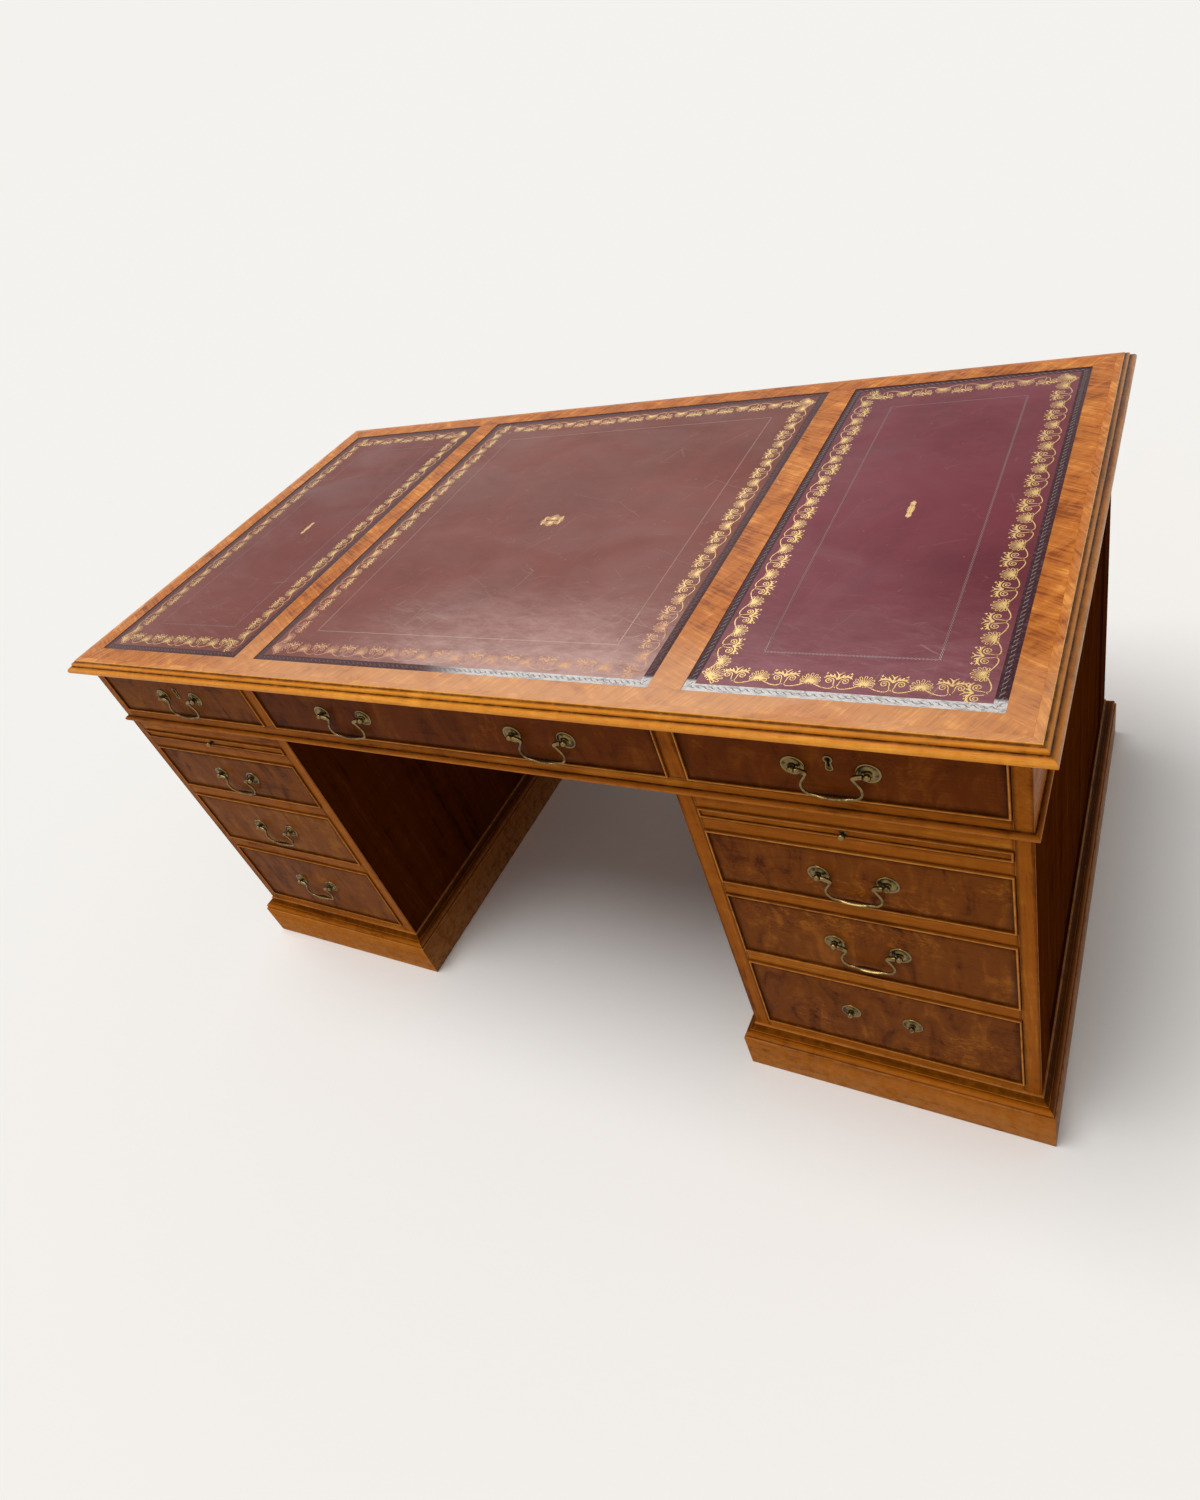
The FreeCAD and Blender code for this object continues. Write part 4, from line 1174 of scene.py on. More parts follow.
# Browner copy for the sides of the top's edge: painted shade.
SHADED_END_YEW = WoodFinish(
    "side_edge_yew", "yew", (0.62, 0.250, 0.034), (0.44, 0.140, 0.013), (0.18, 0.046, 0.004),
    rubbed=(0.84, 0.50, 0.20), rough=0.22, gloss=0.15)
PLINTH_YEW = WoodFinish(
    "plinth_yew", "yew", (0.52, 0.168, 0.011), (0.38, 0.103, 0.005), (0.145, 0.032, 0.002), gloss=0.0)
# Darker copy of the plinth yew for the faces that look sideways: painted shade.
SHADED_YEW = WoodFinish(
    "shaded_yew", "yew", (0.26, 0.080, 0.008), (0.165, 0.042, 0.004), (0.075, 0.016, 0.001), gloss=0.02)
# Darker copy of the yew for the carcass faces that look sideways and into the kneehole: painted shade.
SHADED_SIDE_YEW = WoodFinish("side_yew", "yew", (0.110, 0.026, 0.004), (0.062, 0.012, 0.001),
                      (0.026, 0.004, 0.0005), rough=0.34, rubbed=(0.16, 0.065, 0.022), gloss=0.0)
CROSSBANDING = WoodFinish(
    "crossbanding", "crossbanded_yew", (0.82, 0.320, 0.060), (0.54, 0.160, 0.022), (0.27, 0.058, 0.006),
    rubbed=(0.80, 0.52, 0.34), bands=0.40, fibres=0.68, flames=0.70, scratched=0.22, gloss=0.08,
    slant=0.5, bleached=(0.80, 0.460, 0.255), bleach=0.50)
BURR = WoodFinish(
    "burr_veneer", "burr_yew_drawer", (0.32, 0.098, 0.009), (0.178, 0.045, 0.004),
    (0.060, 0.011, 0.001), bands=0.12, fibres=0.14, flames=0.80, burr=0.85, gloss=0.02)
PLAIN_BURR = WoodFinish(
    "plain_veneer", "burr_yew_drawer", (0.30, 0.098, 0.010), (0.190, 0.051, 0.005),
    (0.075, 0.016, 0.001), bands=0.15, fibres=0.20, flames=0.80, burr=0.45)
# Darker copy of the veneer for the frieze drawers under the overhang of the top: painted shade.
SHADED_FRIEZE_BURR = WoodFinish(
    "frieze_veneer", "burr_yew_drawer", (0.22, 0.057, 0.005), (0.125, 0.026, 0.002),
    (0.050, 0.009, 0.001), bands=0.15, fibres=0.15, flames=0.70, burr=0.50, gloss=0.018)
COCKBEAD = WoodFinish("cockbead", "yew", (0.52, 0.180, 0.020), (0.36, 0.100, 0.008),
                      (0.12, 0.026, 0.002), rubbed=(0.74, 0.33, 0.085))
LINING = WoodFinish(
    "drawer_lining", "drawer_lining_wood", (0.56, 0.36, 0.19), (0.45, 0.27, 0.13), (0.32, 0.17, 0.075),
    rubbed=(0.60, 0.42, 0.25), dirt=(0.10, 0.05, 0.02), rough=0.55)

# Metals: bright and tarnished tone.
BRASS = MetalFinish("antique_brass", "antique_brass", (0.215, 0.145, 0.053),
                    (0.036, 0.025, 0.010), cover=0.72, rough=0.27, patch_scale=75.0)
GILT = MetalFinish("gold_leaf", "gilt_tooling", (0.66, 0.440, 0.145), (0.34, 0.150, 0.065),
                   rough=0.36, patch_scale=240.0, metallic=0.35)
RUBBED_GILT = MetalFinish(
    "rubbed_gold_leaf", "gilt_tooling", (0.66, 0.430, 0.150), (0.45, 0.205, 0.130), rough=0.42,
    patch_scale=110.0, metallic=0.3, front_wear=0.68)

# Hides: base, faded and deep tone.
LEFT_HIDE = LeatherFinish("hide_left", "burgundy_leather", (0.170, 0.037, 0.030),
                          (0.26, 0.105, 0.088), (0.130, 0.027, 0.022), wear=0.35)
CENTRE_HIDE = LeatherFinish(
    "hide_centre", "burgundy_leather", (0.195, 0.050, 0.036), (0.62, 0.400, 0.350),
    (0.150, 0.038, 0.028), wear=0.95, scuffed=(0.56, 0.42, 0.38), fade_from=-0.12, fade_left=0.12)
RIGHT_HIDE = LeatherFinish(
    "hide_right", "burgundy_leather", (0.168, 0.025, 0.038), (0.34, 0.150, 0.160),
    (0.118, 0.016, 0.026), wear=0.75, fade_from=-0.12)
SLIDE_HIDE = LeatherFinish("hide_slide", "burgundy_leather", (0.165, 0.032, 0.038),
                           (0.20, 0.06, 0.065), (0.125, 0.024, 0.030), wear=0.1)

# Pressed hide: base and waxed tone, and where in X the wax begins and is full.
PRESSED = ToolingFinish(
    "pressed_band", "burgundy_leather", (0.060, 0.022, 0.026), (0.70, 0.67, 0.64), -0.02, 0.10)
WORN_BAND = replace(PRESSED, name="worn_band", base=(0.088, 0.040, 0.040))
CHAIN = ToolingFinish(
    "pressed_chain", "burgundy_leather", (0.24, 0.21, 0.21), (0.20, 0.185, 0.185), 0.0, 0.08)
WORN_CHAIN = replace(CHAIN, name="worn_chain", base=(0.155, 0.105, 0.105))
ROPE = ToolingFinish("pressed_rope", "burgundy_leather", (0.230, 0.175, 0.180),
                     (0.38, 0.32, 0.32), -0.2, 0.6, front=-0.30)
WORN_ROPE = ToolingFinish(
    "worn_rope", "burgundy_leather", (0.38, 0.255, 0.225), (0.58, 0.440, 0.390), -0.4, 0.1, front=-0.25)


def dress(obj: Object, finishes: Sequence[Finish],
          choose: Callable[[Polygon], int]) -> None:
    """Dress an object in several finishes.

    Args:
        obj: Object to dress.
        finishes: Its finishes.
        choose: Gives the place in this list of a face's finish.
    """
    for finish in finishes:
        obj.data.materials.append(material_of(finish))
    for polygon in obj.data.polygons:
        polygon.material_index = int(choose(polygon))


def settle(obj: Object, name: str, finish: Finish, body: str,
           stands_for: Sequence[str] = ()) -> None:
    """Name and dress a finished piece, and hand it to the body that it moves with.

    Args:
        obj: The piece, its place in its mesh.
        name: Its name.
        finish: Its main finish.
        body: Body that it rides on.
        stands_for: Nodes that it is shown instead of.
    """
    obj.name = name
    obj.data.name = name
    if not obj.data.materials:
        obj.data.materials.append(material_of(finish))
    hold(obj)
    bpy.ops.object.shade_smooth_by_angle(angle=SMOOTH_ANGLE)
    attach(obj, body)
    if stands_for:
        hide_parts(*stands_for)
    log.info("%s: %d faces on %s", name, len(obj.data.polygons), body)


# ---- tooling of the leathers
def both(stroke: Stroke) -> list[Stroke]:
    """A stroke and its mirror image."""
    return [[(side * x, y, width) for x, y, width in stroke] for side in (-1, 1)]


def moved(lines: Sequence[Stroke], x: float, y: float, size: float = 1.0,
          angle: float = 0.0) -> list[Stroke]:
    """Strokes turned counterclockwise, scaled and shifted in their plane."""
    cos, sin = math.cos(angle) * size, math.sin(angle) * size
    return [[(x + px * cos - py * sin, y + px * sin + py * cos, width * size)
             for px, py, width in line] for line in lines]


@dataclass(frozen=True)
class Palmette:
    """Fan of looped petals over three dots, foot at the origin, opening towards +Y."""

    petals: int = 9
    spread: float = math.radians(96)
    foot: float = 2.8
    reach: float = 15.4
    droop: float = 0.33          # share that the lowest petals are shorter by
    loop: float = 1.45
    line: float = 0.42

    def petal(self, lean: float, reach: float) -> Stroke:
        """Outline of one petal, from the foot round its tip and back.

        Args:
            lean: Angle from the middle petal.
            reach: Its length.

        Returns:
            The stroke.
        """
        line = self.line
        rising = [(0.10, 0.1, line * 1.8), (0.45, 0.30, line), (0.80, 1.0, line), (1.05, 1.0, line)]
        outline = rising + [(part, -side, width) for part, side, width in reversed(rising)]
        cos, sin = math.cos(lean), math.sin(lean)
        return [(sin * reach * part + cos * self.loop * side,
                 self.foot + cos * reach * part - sin * self.loop * side, width)
                for part, side, width in outline]

    def lines(self) -> list[Stroke]:
        """All strokes of the fan."""
        drawn = []
        for index in range(self.petals):
            share = 2 * index / (self.petals - 1) - 1
            drawn.append(self.petal(
                share * self.spread, self.reach * (1.0 - self.droop * abs(share) ** 1.4)))
        drawn.append([(0.0, 2.0, 1.0), (0.0, 4.5, 1.5), (0.0, 8.5, 0.4)])
        for x in (-3.0, 0.0, 3.0):
            drawn.append([(x - 0.8, 0.2, 0.6), (x, 0.2, 0.9), (x + 0.8, 0.2, 0.6)])
        return drawn


def star(size: float) -> list[Stroke]:
    """Small four-petalled star of one half width."""
    return [[(-size * x, -size * y, 0.35), (0.0, 0.0, 1.0), (size * x, size * y, 0.35)]
            for x, y in ((1, 0), (0, 1))]


def tendrils() -> list[Stroke]:
    """Wavy lines that leave a palmette's foot for the scrolls on both sides."""
    return (both([(4.4, 0.8, 0.35), (7.5, -0.6, 0.55), (12.5, -3.2, 0.65), (18.0, -5.4, 0.65),
                  (24.0, -6.2, 0.60), (28.6, -4.6, 0.55), (28.8, -1.4, 0.35)])
            + moved(star(1.8), -17.2, 20.6) + moved(star(1.8), 17.2, 20.6))


def winged_scroll() -> list[Stroke]:
    """Two ringed volutes under leafy wings, with a sprig on top, growing towards +Y."""
    drawn = both([(1.9, -0.6, 0.4), (3.0, 2.6, 0.5), (3.0, 6.8, 0.55), (4.4, 10.6, 0.6),
                  (8.2, 11.9, 0.65), (11.8, 9.6, 0.6), (11.6, 5.4, 0.55), (8.4, 3.6, 0.5),
                  (5.8, 5.8, 0.5), (6.2, 8.6, 0.5), (8.6, 9.2, 0.6), (9.2, 7.0, 0.8)])
    drawn += both([
        (0.0, 9.6, 1.0), (2.2, 13.0, 1.1), (7.0, 15.0, 1.35), (12.0, 14.2, 1.05), (15.0, 11.2, 0.35)])
    for root, tip_x, tip_y in ((3.8, 6.0, 18.4), (7.6, 10.0, 18.0), (11.4, 14.2, 16.4)):
        drawn += both([(root, 14.4, 0.9), (tip_x - 0.9, tip_y - 1.2, 0.8), (tip_x, tip_y, 0.3)])
    drawn += both([(0.2, 16.2, 0.7), (1.2, 19.2, 0.6), (4.4, 21.6, 0.3)])
    drawn.append([(0.0, 10.4, 1.2), (0.0, 14.5, 1.0), (0.0, 18.6, 0.6)])
    drawn.append([(-0.7, -2.6, 0.5), (0.0, -2.6, 0.8), (0.7, -2.6, 0.5)])
    return drawn


@dataclass
class Leather:
    """Leather lining of the top with its blind and gilt tooling."""

    node: str
    hide: LeatherFinish
    gold: MetalFinish
    motif_turn: float                # of the ornament in the middle
    motif_width: float               # as a share of the drawn width
    band_finish: ToolingFinish
    chain_finish: ToolingFinish
    rope_finish: ToolingFinish
    rope_width: float                # as a share of its full width
    band: float = 12.5 * MM          # pressed band round the edge
    band_edge: float = 0.8 * MM
    band_drop: float = 0.25 * MM
    border_inset_x: float = 25.5 * MM
    border_inset_y: float = 26.5 * MM
    step: float = 31.0               # from one ornament to the next, millimetres
    last_step: float = 0.75          # of a step that stays clear at the end of a side
    scroll_size: float = 1.1
    motif_length: float = 1.2        # as a share of the drawn length
    motif_boldness: float = 1.5
    corner_size: float = 1.3
    corner_reach: float = 2.0        # of the first ornament past the corner, millimetres
    rope_inset: float = 80.0 * MM
    rope_pitch: float = 4.4 * MM
    chain_inset: float = 0.60        # as a share of the band
    chain_pitch: float = 9.0 * MM
    gilt_rise: float = 0.12 * MM
    blind_rise: float = 0.22 * MM

    def __post_init__(self) -> None:
        """Read the panel's place from the frame."""
        self.xs, self.ys, self.zs = spans_of(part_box(self.node))
        self.middle_x, self.middle_y = middle(self.xs), middle(self.ys)
        self.half_x, self.half_y = half(self.xs), half(self.ys)
        self.on_top = at(self.middle_x, self.middle_y, self.zs[1])

    def on_band(self, polygon: Polygon) -> bool:
        """Whether a face of the hide lies on its edge band."""
        off_x, off_y = polygon.center.x - self.middle_x, polygon.center.y - self.middle_y
        return (abs(off_x) > self.half_x - self.band - MM or abs(off_y) > self.half_y - self.band - MM)

    def skin(self) -> Object:
        """The hide itself, its edge band pressed down."""
        obj = board(self.xs, self.ys, (self.zs[0], self.zs[1] - self.band_drop), ALONG_Y, LEATHER_ARRIS)
        with shaping(obj):
            pick_faces(obj, (0, 0, 1))
            bpy.ops.mesh.inset(thickness=self.band, depth=0)
            bpy.ops.mesh.inset(thickness=self.band_edge, depth=self.band_drop)
        dress(obj, (self.hide, self.band_finish), self.on_band)
        return obj

    def gilt(self) -> Object:
        """Gilt border of palmettes and scrolls, and the ornament in the middle."""
        half_x = (self.half_x - self.border_inset_x) / MM
        half_y = (self.half_y - self.border_inset_y) / MM
        fan = Palmette().lines()
        scroll = moved(winged_scroll(), 0, -0.4, self.scroll_size)
        units = [strokes(lines, self.gilt_rise) for lines in (fan + tendrils(), scroll)]
        corner = strokes(moved(fan, 0, -2.0, self.corner_size), self.gilt_rise)
        parts = []
        for quarter, (along, out) in enumerate(((half_x, half_y), (half_y, half_x)) * 2):
            side = turn(quarter * QUARTER)
            first = 1 - quarter % 2
            last = int((2 * along - self.last_step * self.step) / self.step)
            for index in range(first, last + 1):
                x = -along + self.corner_reach + index * self.step
                parts.append(stamp(units[(index + quarter) % 2], side @ at(x * MM, -out * MM)))
            if first:
                diagonal = at(-along * MM, -out * MM) @ turn(-QUARTER / 2)
                parts.append(stamp(corner, side @ diagonal))
        parts.append(stamp(self.motif(fan), turn(self.motif_turn)))
        return put(join(parts), self.on_top)

    def motif(self, fan: list[Stroke]) -> Mesh:
        """Ornament of the middle: two fans foot to foot between two scrolls."""
        lines = moved(fan, 0, 1.0, 0.6) + moved(fan, 0, -1.0, 0.6, math.pi)
        for side in (-1, 1):
            lines += moved(winged_scroll(), side * 5.0, 0, 0.62, -side * QUARTER)
        return strokes([[(x * self.motif_length, y * self.motif_width, width * self.motif_boldness)
                         for x, y, width in line] for line in lines], self.gilt_rise)

    def chain(self) -> Object:
        """Crossing waves pressed into the edge band."""
        reach = self.chain_pitch / MM
        hook = [(-0.05, 2.2, 0.25), (0.22, 2.9, 0.45), (0.44, 0.6, 0.75), (0.62, -1.9, 0.55),
                (0.95, -2.2, 0.25)]
        unit = strokes(
            [[(share * reach, height, width) for share, height, width in hook]], self.blind_rise, 1)
        inset = self.band * self.chain_inset
        parts = run_round(unit, self.half_x - inset, self.half_y - inset, self.chain_pitch, 0.0)
        return put(join(parts), self.on_top @ at(z=-self.band_drop))

    def rope(self) -> Object:
        """Twisted rope line pressed round the writing area."""
        wide = 1.5 * self.rope_width
        unit = strokes([[(-3.0, -wide, 0.4), (0, 0, wide), (3.0, wide, 0.4)]], self.gilt_rise, 1)
        parts = run_round(
            unit, self.half_x - self.rope_inset, self.half_y - self.rope_inset, self.rope_pitch, 0.5)
        return put(join(parts), self.on_top)

    def build(self) -> None:
        """Make and dress the hide and its tooling."""
        settle(self.skin(), f"{self.node}_hide", self.hide, ROOT, [self.node])
        for obj, name, finish in ((self.gilt(), "gilt_border", self.gold),
                                  (self.chain(), "pressed_chain", self.chain_finish),
                                  (self.rope(), "pressed_rope", self.rope_finish)):
            settle(obj, f"{self.node}_{name}", finish, ROOT)


# ---- top
@dataclass
class WorkingTop:
    """Edge moulding, crossbanding and leathers on their ground board."""

    moulding_width: float = 26.0 * MM
    joint: float = 0.12                  # hairline joints of the veneer, millimetres
    veneer: float = 2.0                  # millimetres
    rim_drop: float = 0.05 * MM          # below the top, within which a face is its flat rim

    def edge_section(self) -> Outline:
        """Stepped thumb moulding, nose at x = 0 and the top surface at z = 0."""
        return [
            (-26, -0.12, -0.2), (-25.88, 0), (-16.6, 0, 0.15), (-15.7, -0.25, 1.0), (-15.5, -2.2, -0.8),
            (-13.9, -2.6, -0.9), (-8.9, -7.4, -0.1, (-10.2, -4.0), 0.25), (-8.9, -8.6, -1.0),
            (-7.8, -8.8, -0.9), (0, -15.4, 0.2, (-2.4, -10.6), 0.3),
            (-2.6, -20, -0.7, (-0.6, -17.8), -0.1), (-26, -20, -0.3)]

    def edge(self, xs: Span, ys: Span, top: float) -> Object:
        """Edge moulding: its flat rim is crossbanded, and its sides wear a browner copy of its finish
        than its lengths: painted shade on the sides, painted light on the lengths.

        Args:
            xs: Span of the top in X.
            ys: Its span in Y.
            top: Its height.

        Returns:
            The dressed moulding.
        """
        def finish_of(polygon: Polygon) -> int:
            """Rim, side or length, whichever a face belongs to."""
            place = polygon.center
            if polygon.normal.z > FACING and top - place.z < self.rim_drop:
                return 2
            return int(xs[1] - abs(place.x) > ys[1] - abs(place.y))

        obj = put(mitred_frame(self.edge_section(), xs[1], ys[1]), at(z=top))
        dress(obj, (SHADED_END_YEW, LIT_EDGE_YEW, CROSSBANDING), finish_of)
        return obj

    def crossband_section(self, width: float) -> Outline:
        """Veneer strip of a width in millimetres, with hairline joints along both edges."""
        joint = self.joint
        return [(-width, -self.veneer), (0, -self.veneer), (0, -joint, -0.2),
                (-joint, 0), (-width + joint, 0, -0.1), (-width, -joint, -0.9)]

    def build(self) -> None:
        """Make and dress the top."""
        xs, ys, (_, top) = spans_of(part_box("top_edge_moulding"))
        settle(self.edge(xs, ys, top), "top_edge_moulding_lengths", LIT_EDGE_YEW, ROOT,
               ["top_edge_moulding"])
        edge_x, edge_y = xs[1] - self.moulding_width, ys[1] - self.moulding_width
        right_x, right_y, _ = spans_of(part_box("leather_panel_right"))
        divider = (spans_of(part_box("leather_panel_centre"))[0][1], right_x[0])
        parts = [put(mitred_frame(self.crossband_section((edge_y - right_y[1]) / MM), edge_x,
                                  edge_y, ALONG_X), at(z=top))]
        strip = keep_pattern(moulding(
            self.crossband_section(2 * half(divider) / MM), right_y[1], ALONG_X, mitred=False))
        for side in Side:
            parts.append(stamp(strip, at(side.value * middle(divider) + half(divider), 0, top)))
        settle(join(parts), "crossbanded_border", CROSSBANDING, ROOT, ["top_veneer_surround"])
        Leather("leather_panel_left", LEFT_HIDE, GILT, QUARTER, 0.40, WORN_BAND, WORN_CHAIN,
                ROPE, 0.8).build()
        Leather("leather_panel_centre", CENTRE_HIDE, RUBBED_GILT, 0.0, 1.45, WORN_BAND,
                WORN_CHAIN, WORN_ROPE, 0.5).build()
        Leather("leather_panel_right", RIGHT_HIDE, GILT, QUARTER, 0.40, PRESSED, CHAIN, ROPE,
                1.0).build()


# ---- brass
@dataclass
class Brasswork:
    """Patterns of the handles, escutcheons, locks and knobs, modelled once."""

    spread: float = 88.9
    pivot_out: float = 7.7
    front: float = 20.0
    pin_end: float = 43.25
    collar: float = 39.0             # distance of the bail's collars from its middle

    def __post_init__(self) -> None:
        """Model every pattern."""
        self.plate, self.post, self.nut, self.bail = (keep_pattern(model()) for model in (
            self.model_plate, self.model_post, self.model_nut, self.model_bail))
        self.keyhole = keep_pattern(self.model_keyhole(60.0))
        self.escutcheon = keep_pattern(self.model_escutcheon())
        self.slide_knob = keep_pattern(self.model_knob(4.6, 5.0, 12.5))
        self.door_knob = keep_pattern(self.model_knob(11.0, 9.0, 23.0))

    def model_plate(self) -> Object:
        """Round stepped back plate, face up."""
        return turned([
            (3.05, 0, -0.8), (14.75, 0, -0.2), (14.75, 0.7, 0.2),
            (12.95, 1.6, 0.5, (14.25, 1.4), 0.7), (12.15, 1.1, -0.3),
            (7.75, 2.4, 0.1, (9.55, 1.3), -0.3), (6.35, 2.6, 0.3), (4.2, 2.6, -0.5),
            (3.05, 2.6, -0.9)], sides=40)

    def model_post(self) -> Object:
        """Handle post: threaded shank, octagonal neck and round head, face up."""
        shank = turned([(0, -25), (2, -25), (2, -0.2), (0, -0.2)], sides=12)
        neck = turned([(0, 2.4, -0.9), (4.4, 2.4, -0.8), (4.4, 3.6, 0.1),
                       (3.4, 4.4, -0.5), (3.4, 6.4, -0.4), (0, 6.4)], sides=8)
        head = turned([(0, 3.1), (3.0, 3.4, -0.3), (0, 12.3, 0.6, (4.6, 7.7), 0.2)], sides=20)
        return join([head, neck, shank])

    def model_nut(self) -> Object:
        """Hexagon nut behind the drawer front, chamfered."""
        bpy.ops.mesh.primitive_cylinder_add(
            vertices=6, radius=5.77 * MM, depth=3.5 * MM, location=(0, 0, -(self.front + 1.75) * MM))
        obj = fix_place(bpy.context.object)
        modify(obj, "BEVEL", width=0.4 * MM, segments=2)
        return obj

    def bail_path(self) -> list[tuple[Vector, float]]:
        """Half of the bail's middle line, rounded: each point and its heading."""
        line = [Vector(corner) for corner in (
            (-39.0, 0), (-36.5, 0), (-33.0, -1.2), (-27.2, -3.4), (-29.0, -9.0), (-33.4, -15.5),
            (-36.8, -23.0), (-35.4, -31.0), (-29.5, -38.0), (-19.0, -39.4), (-8.0, -39.5),
            (0, -39.5))]
        for _ in range(3):
            cuts = [a.lerp(b, share) for a, b in zip(line, line[1:]) for share in (0.25, 0.75)]
            line = [line[0], *cuts, line[-1]]
        sides = [after - before for before, after in zip(line, line[2:])]
        headings = [0.0, *(math.atan2(side.y, side.x) for side in sides), 0.0]
        return list(zip(line, headings))

    def bail_radii(self, x: float, z: float) -> tuple[float, float]:
        """Half thickness and half depth of the bail.

        Args:
            x: Place on its left half, from its middle.
            z: Height of that place, from its pins.

        Returns:
            The two radii there.
        """
        neck = 1.7 + 0.2 * min(1.0, -z / 30.0)
        knuckle = max(0.0, min(1.0, (z + 9.0) / 5.0))
        round_part = neck + (3.3 - neck) * knuckle
        grip = max(0.0, 1 - (abs(x) / 20.0) ** 2)
        return round_part + (1.9 - round_part) * grip, round_part + (4.5 - round_part) * grip

    def model_bail(self) -> Object:
        """Swan-neck bail with a flattened grip, its pins on the X axis."""
        pin = [Station(-self.pin_end, 0, 0, 1.5, 1.5), Station(-39.8, 0, 0, 1.5, 1.5),
               Station(-39.8, 0, 0, 2.6, 2.6), Station(-39.3, 0, 0, 3.2, 3.2)]
        left = pin + [Station(*place, heading, *self.bail_radii(*place))
                      for place, heading in self.bail_path()]
        obj = sweep(left + [station.mirrored() for station in reversed(left[:-1])])
        mark_tone(obj, lambda place: -0.5 if abs(place.x) > self.collar * MM else 0.25)
        return obj

    def model_keyhole(self, depth: float) -> Object:
        """Cutter of a keyhole, face up."""
        return plate([(-1.2, -11.0), (-1.2, -2.3), (1.2, -2.3, 0, (0, 2.6)), (1.2, -11.0)],
                     about(depth / 2 * MM))

    def model_escutcheon(self) -> Object:
        """Keyhole escutcheon, face up, with a raised rim."""
        obj = plate([(-4.8, -13.5), (-3.2, -4.2), (3.2, -4.2, 0, (0, 6.0)), (4.8, -13.5),
                     (4.0, -15.6), (-4.0, -15.6, 0, (0, -17.4))], (0.0, 1.2 * MM), 0.2 * MM)
        with shaping(obj):
            pick_faces(obj, (0, 0, 1))
            bpy.ops.mesh.inset(thickness=1.1 * MM, depth=0)
            bpy.ops.mesh.inset(thickness=0.3 * MM, depth=-0.6 * MM)
        cut(obj, self.keyhole, at())
        mark_tone(obj, lambda place: 0.5 if place.z > 0.9 * MM else -0.8)
        return obj

    def model_knob(self, radius: float, base: float, out: float) -> Object:
        """Turned knob with its base and screw, face up, that stands `out` millimetres out."""
        neck = radius * 0.45
        return turned([
            (0, -14), (1.6, -14), (1.6, 0), (base, 0, -0.6), (base, 0.8, -0.3),
            (neck + 0.4, 2.2, -0.9), (neck, out - radius * 1.6, -0.9),
            (radius * 0.55, out - radius * 0.12, 0.6, (radius, out - radius * 0.8), 0.4),
            (0, out, 0.7)], sides=24)

    def handle(self, place: Matrix) -> list[Object]:
        """Plates, posts and nuts of a handle round a place on the face of the drawer."""
        posts = [place @ at(side * self.spread / 2 * MM) for side in (-1, 1)]
        return [stamp(pattern, post) for post in posts for pattern in (self.plate, self.post, self.nut)]

    def swinging_bail(self, place: Matrix) -> Object:
        """Bail of a handle, hanging from its posts round a place on the face of the drawer."""
        return stamp(self.bail, place @ at(z=self.pivot_out * MM) @ turn(-QUARTER, "X"))

    def lock(self, place: Matrix) -> list[Object]:
        """Escutcheon and, behind the front, the lock case.

        Args:
            place: Middle of the keyhole's round end, on the face of the front.

        Returns:
            The two pieces.
        """
        back = -self.front * MM
        case = board(about(26 * MM), about(20 * MM), (back - 11 * MM, back), ALONG_X, 0.8 * MM)
        cut(case, self.keyhole, at())
        return [stamp(self.escutcheon, place), put(case, place)]


@cache
def brasswork() -> Brasswork:
    """The patterns of the brass, modelled once."""
    return Brasswork()


# ---- drawers
def cockbeads(xs: Span, zs: Span, face: Face, nose_tone: float) -> Object:
    """Four mitred cockbeads round a front: flush sides and a round nose."""
    section = [(-3, -20, -0.4), (0, -20, -0.6), (0, 1.5, -0.5), (-3, 1.5, -0.9, (-1.5, 3.0), nose_tone)]
    return put(mitred_frame(section, half(xs), half(zs)), face.plant(middle(xs), middle(zs)))


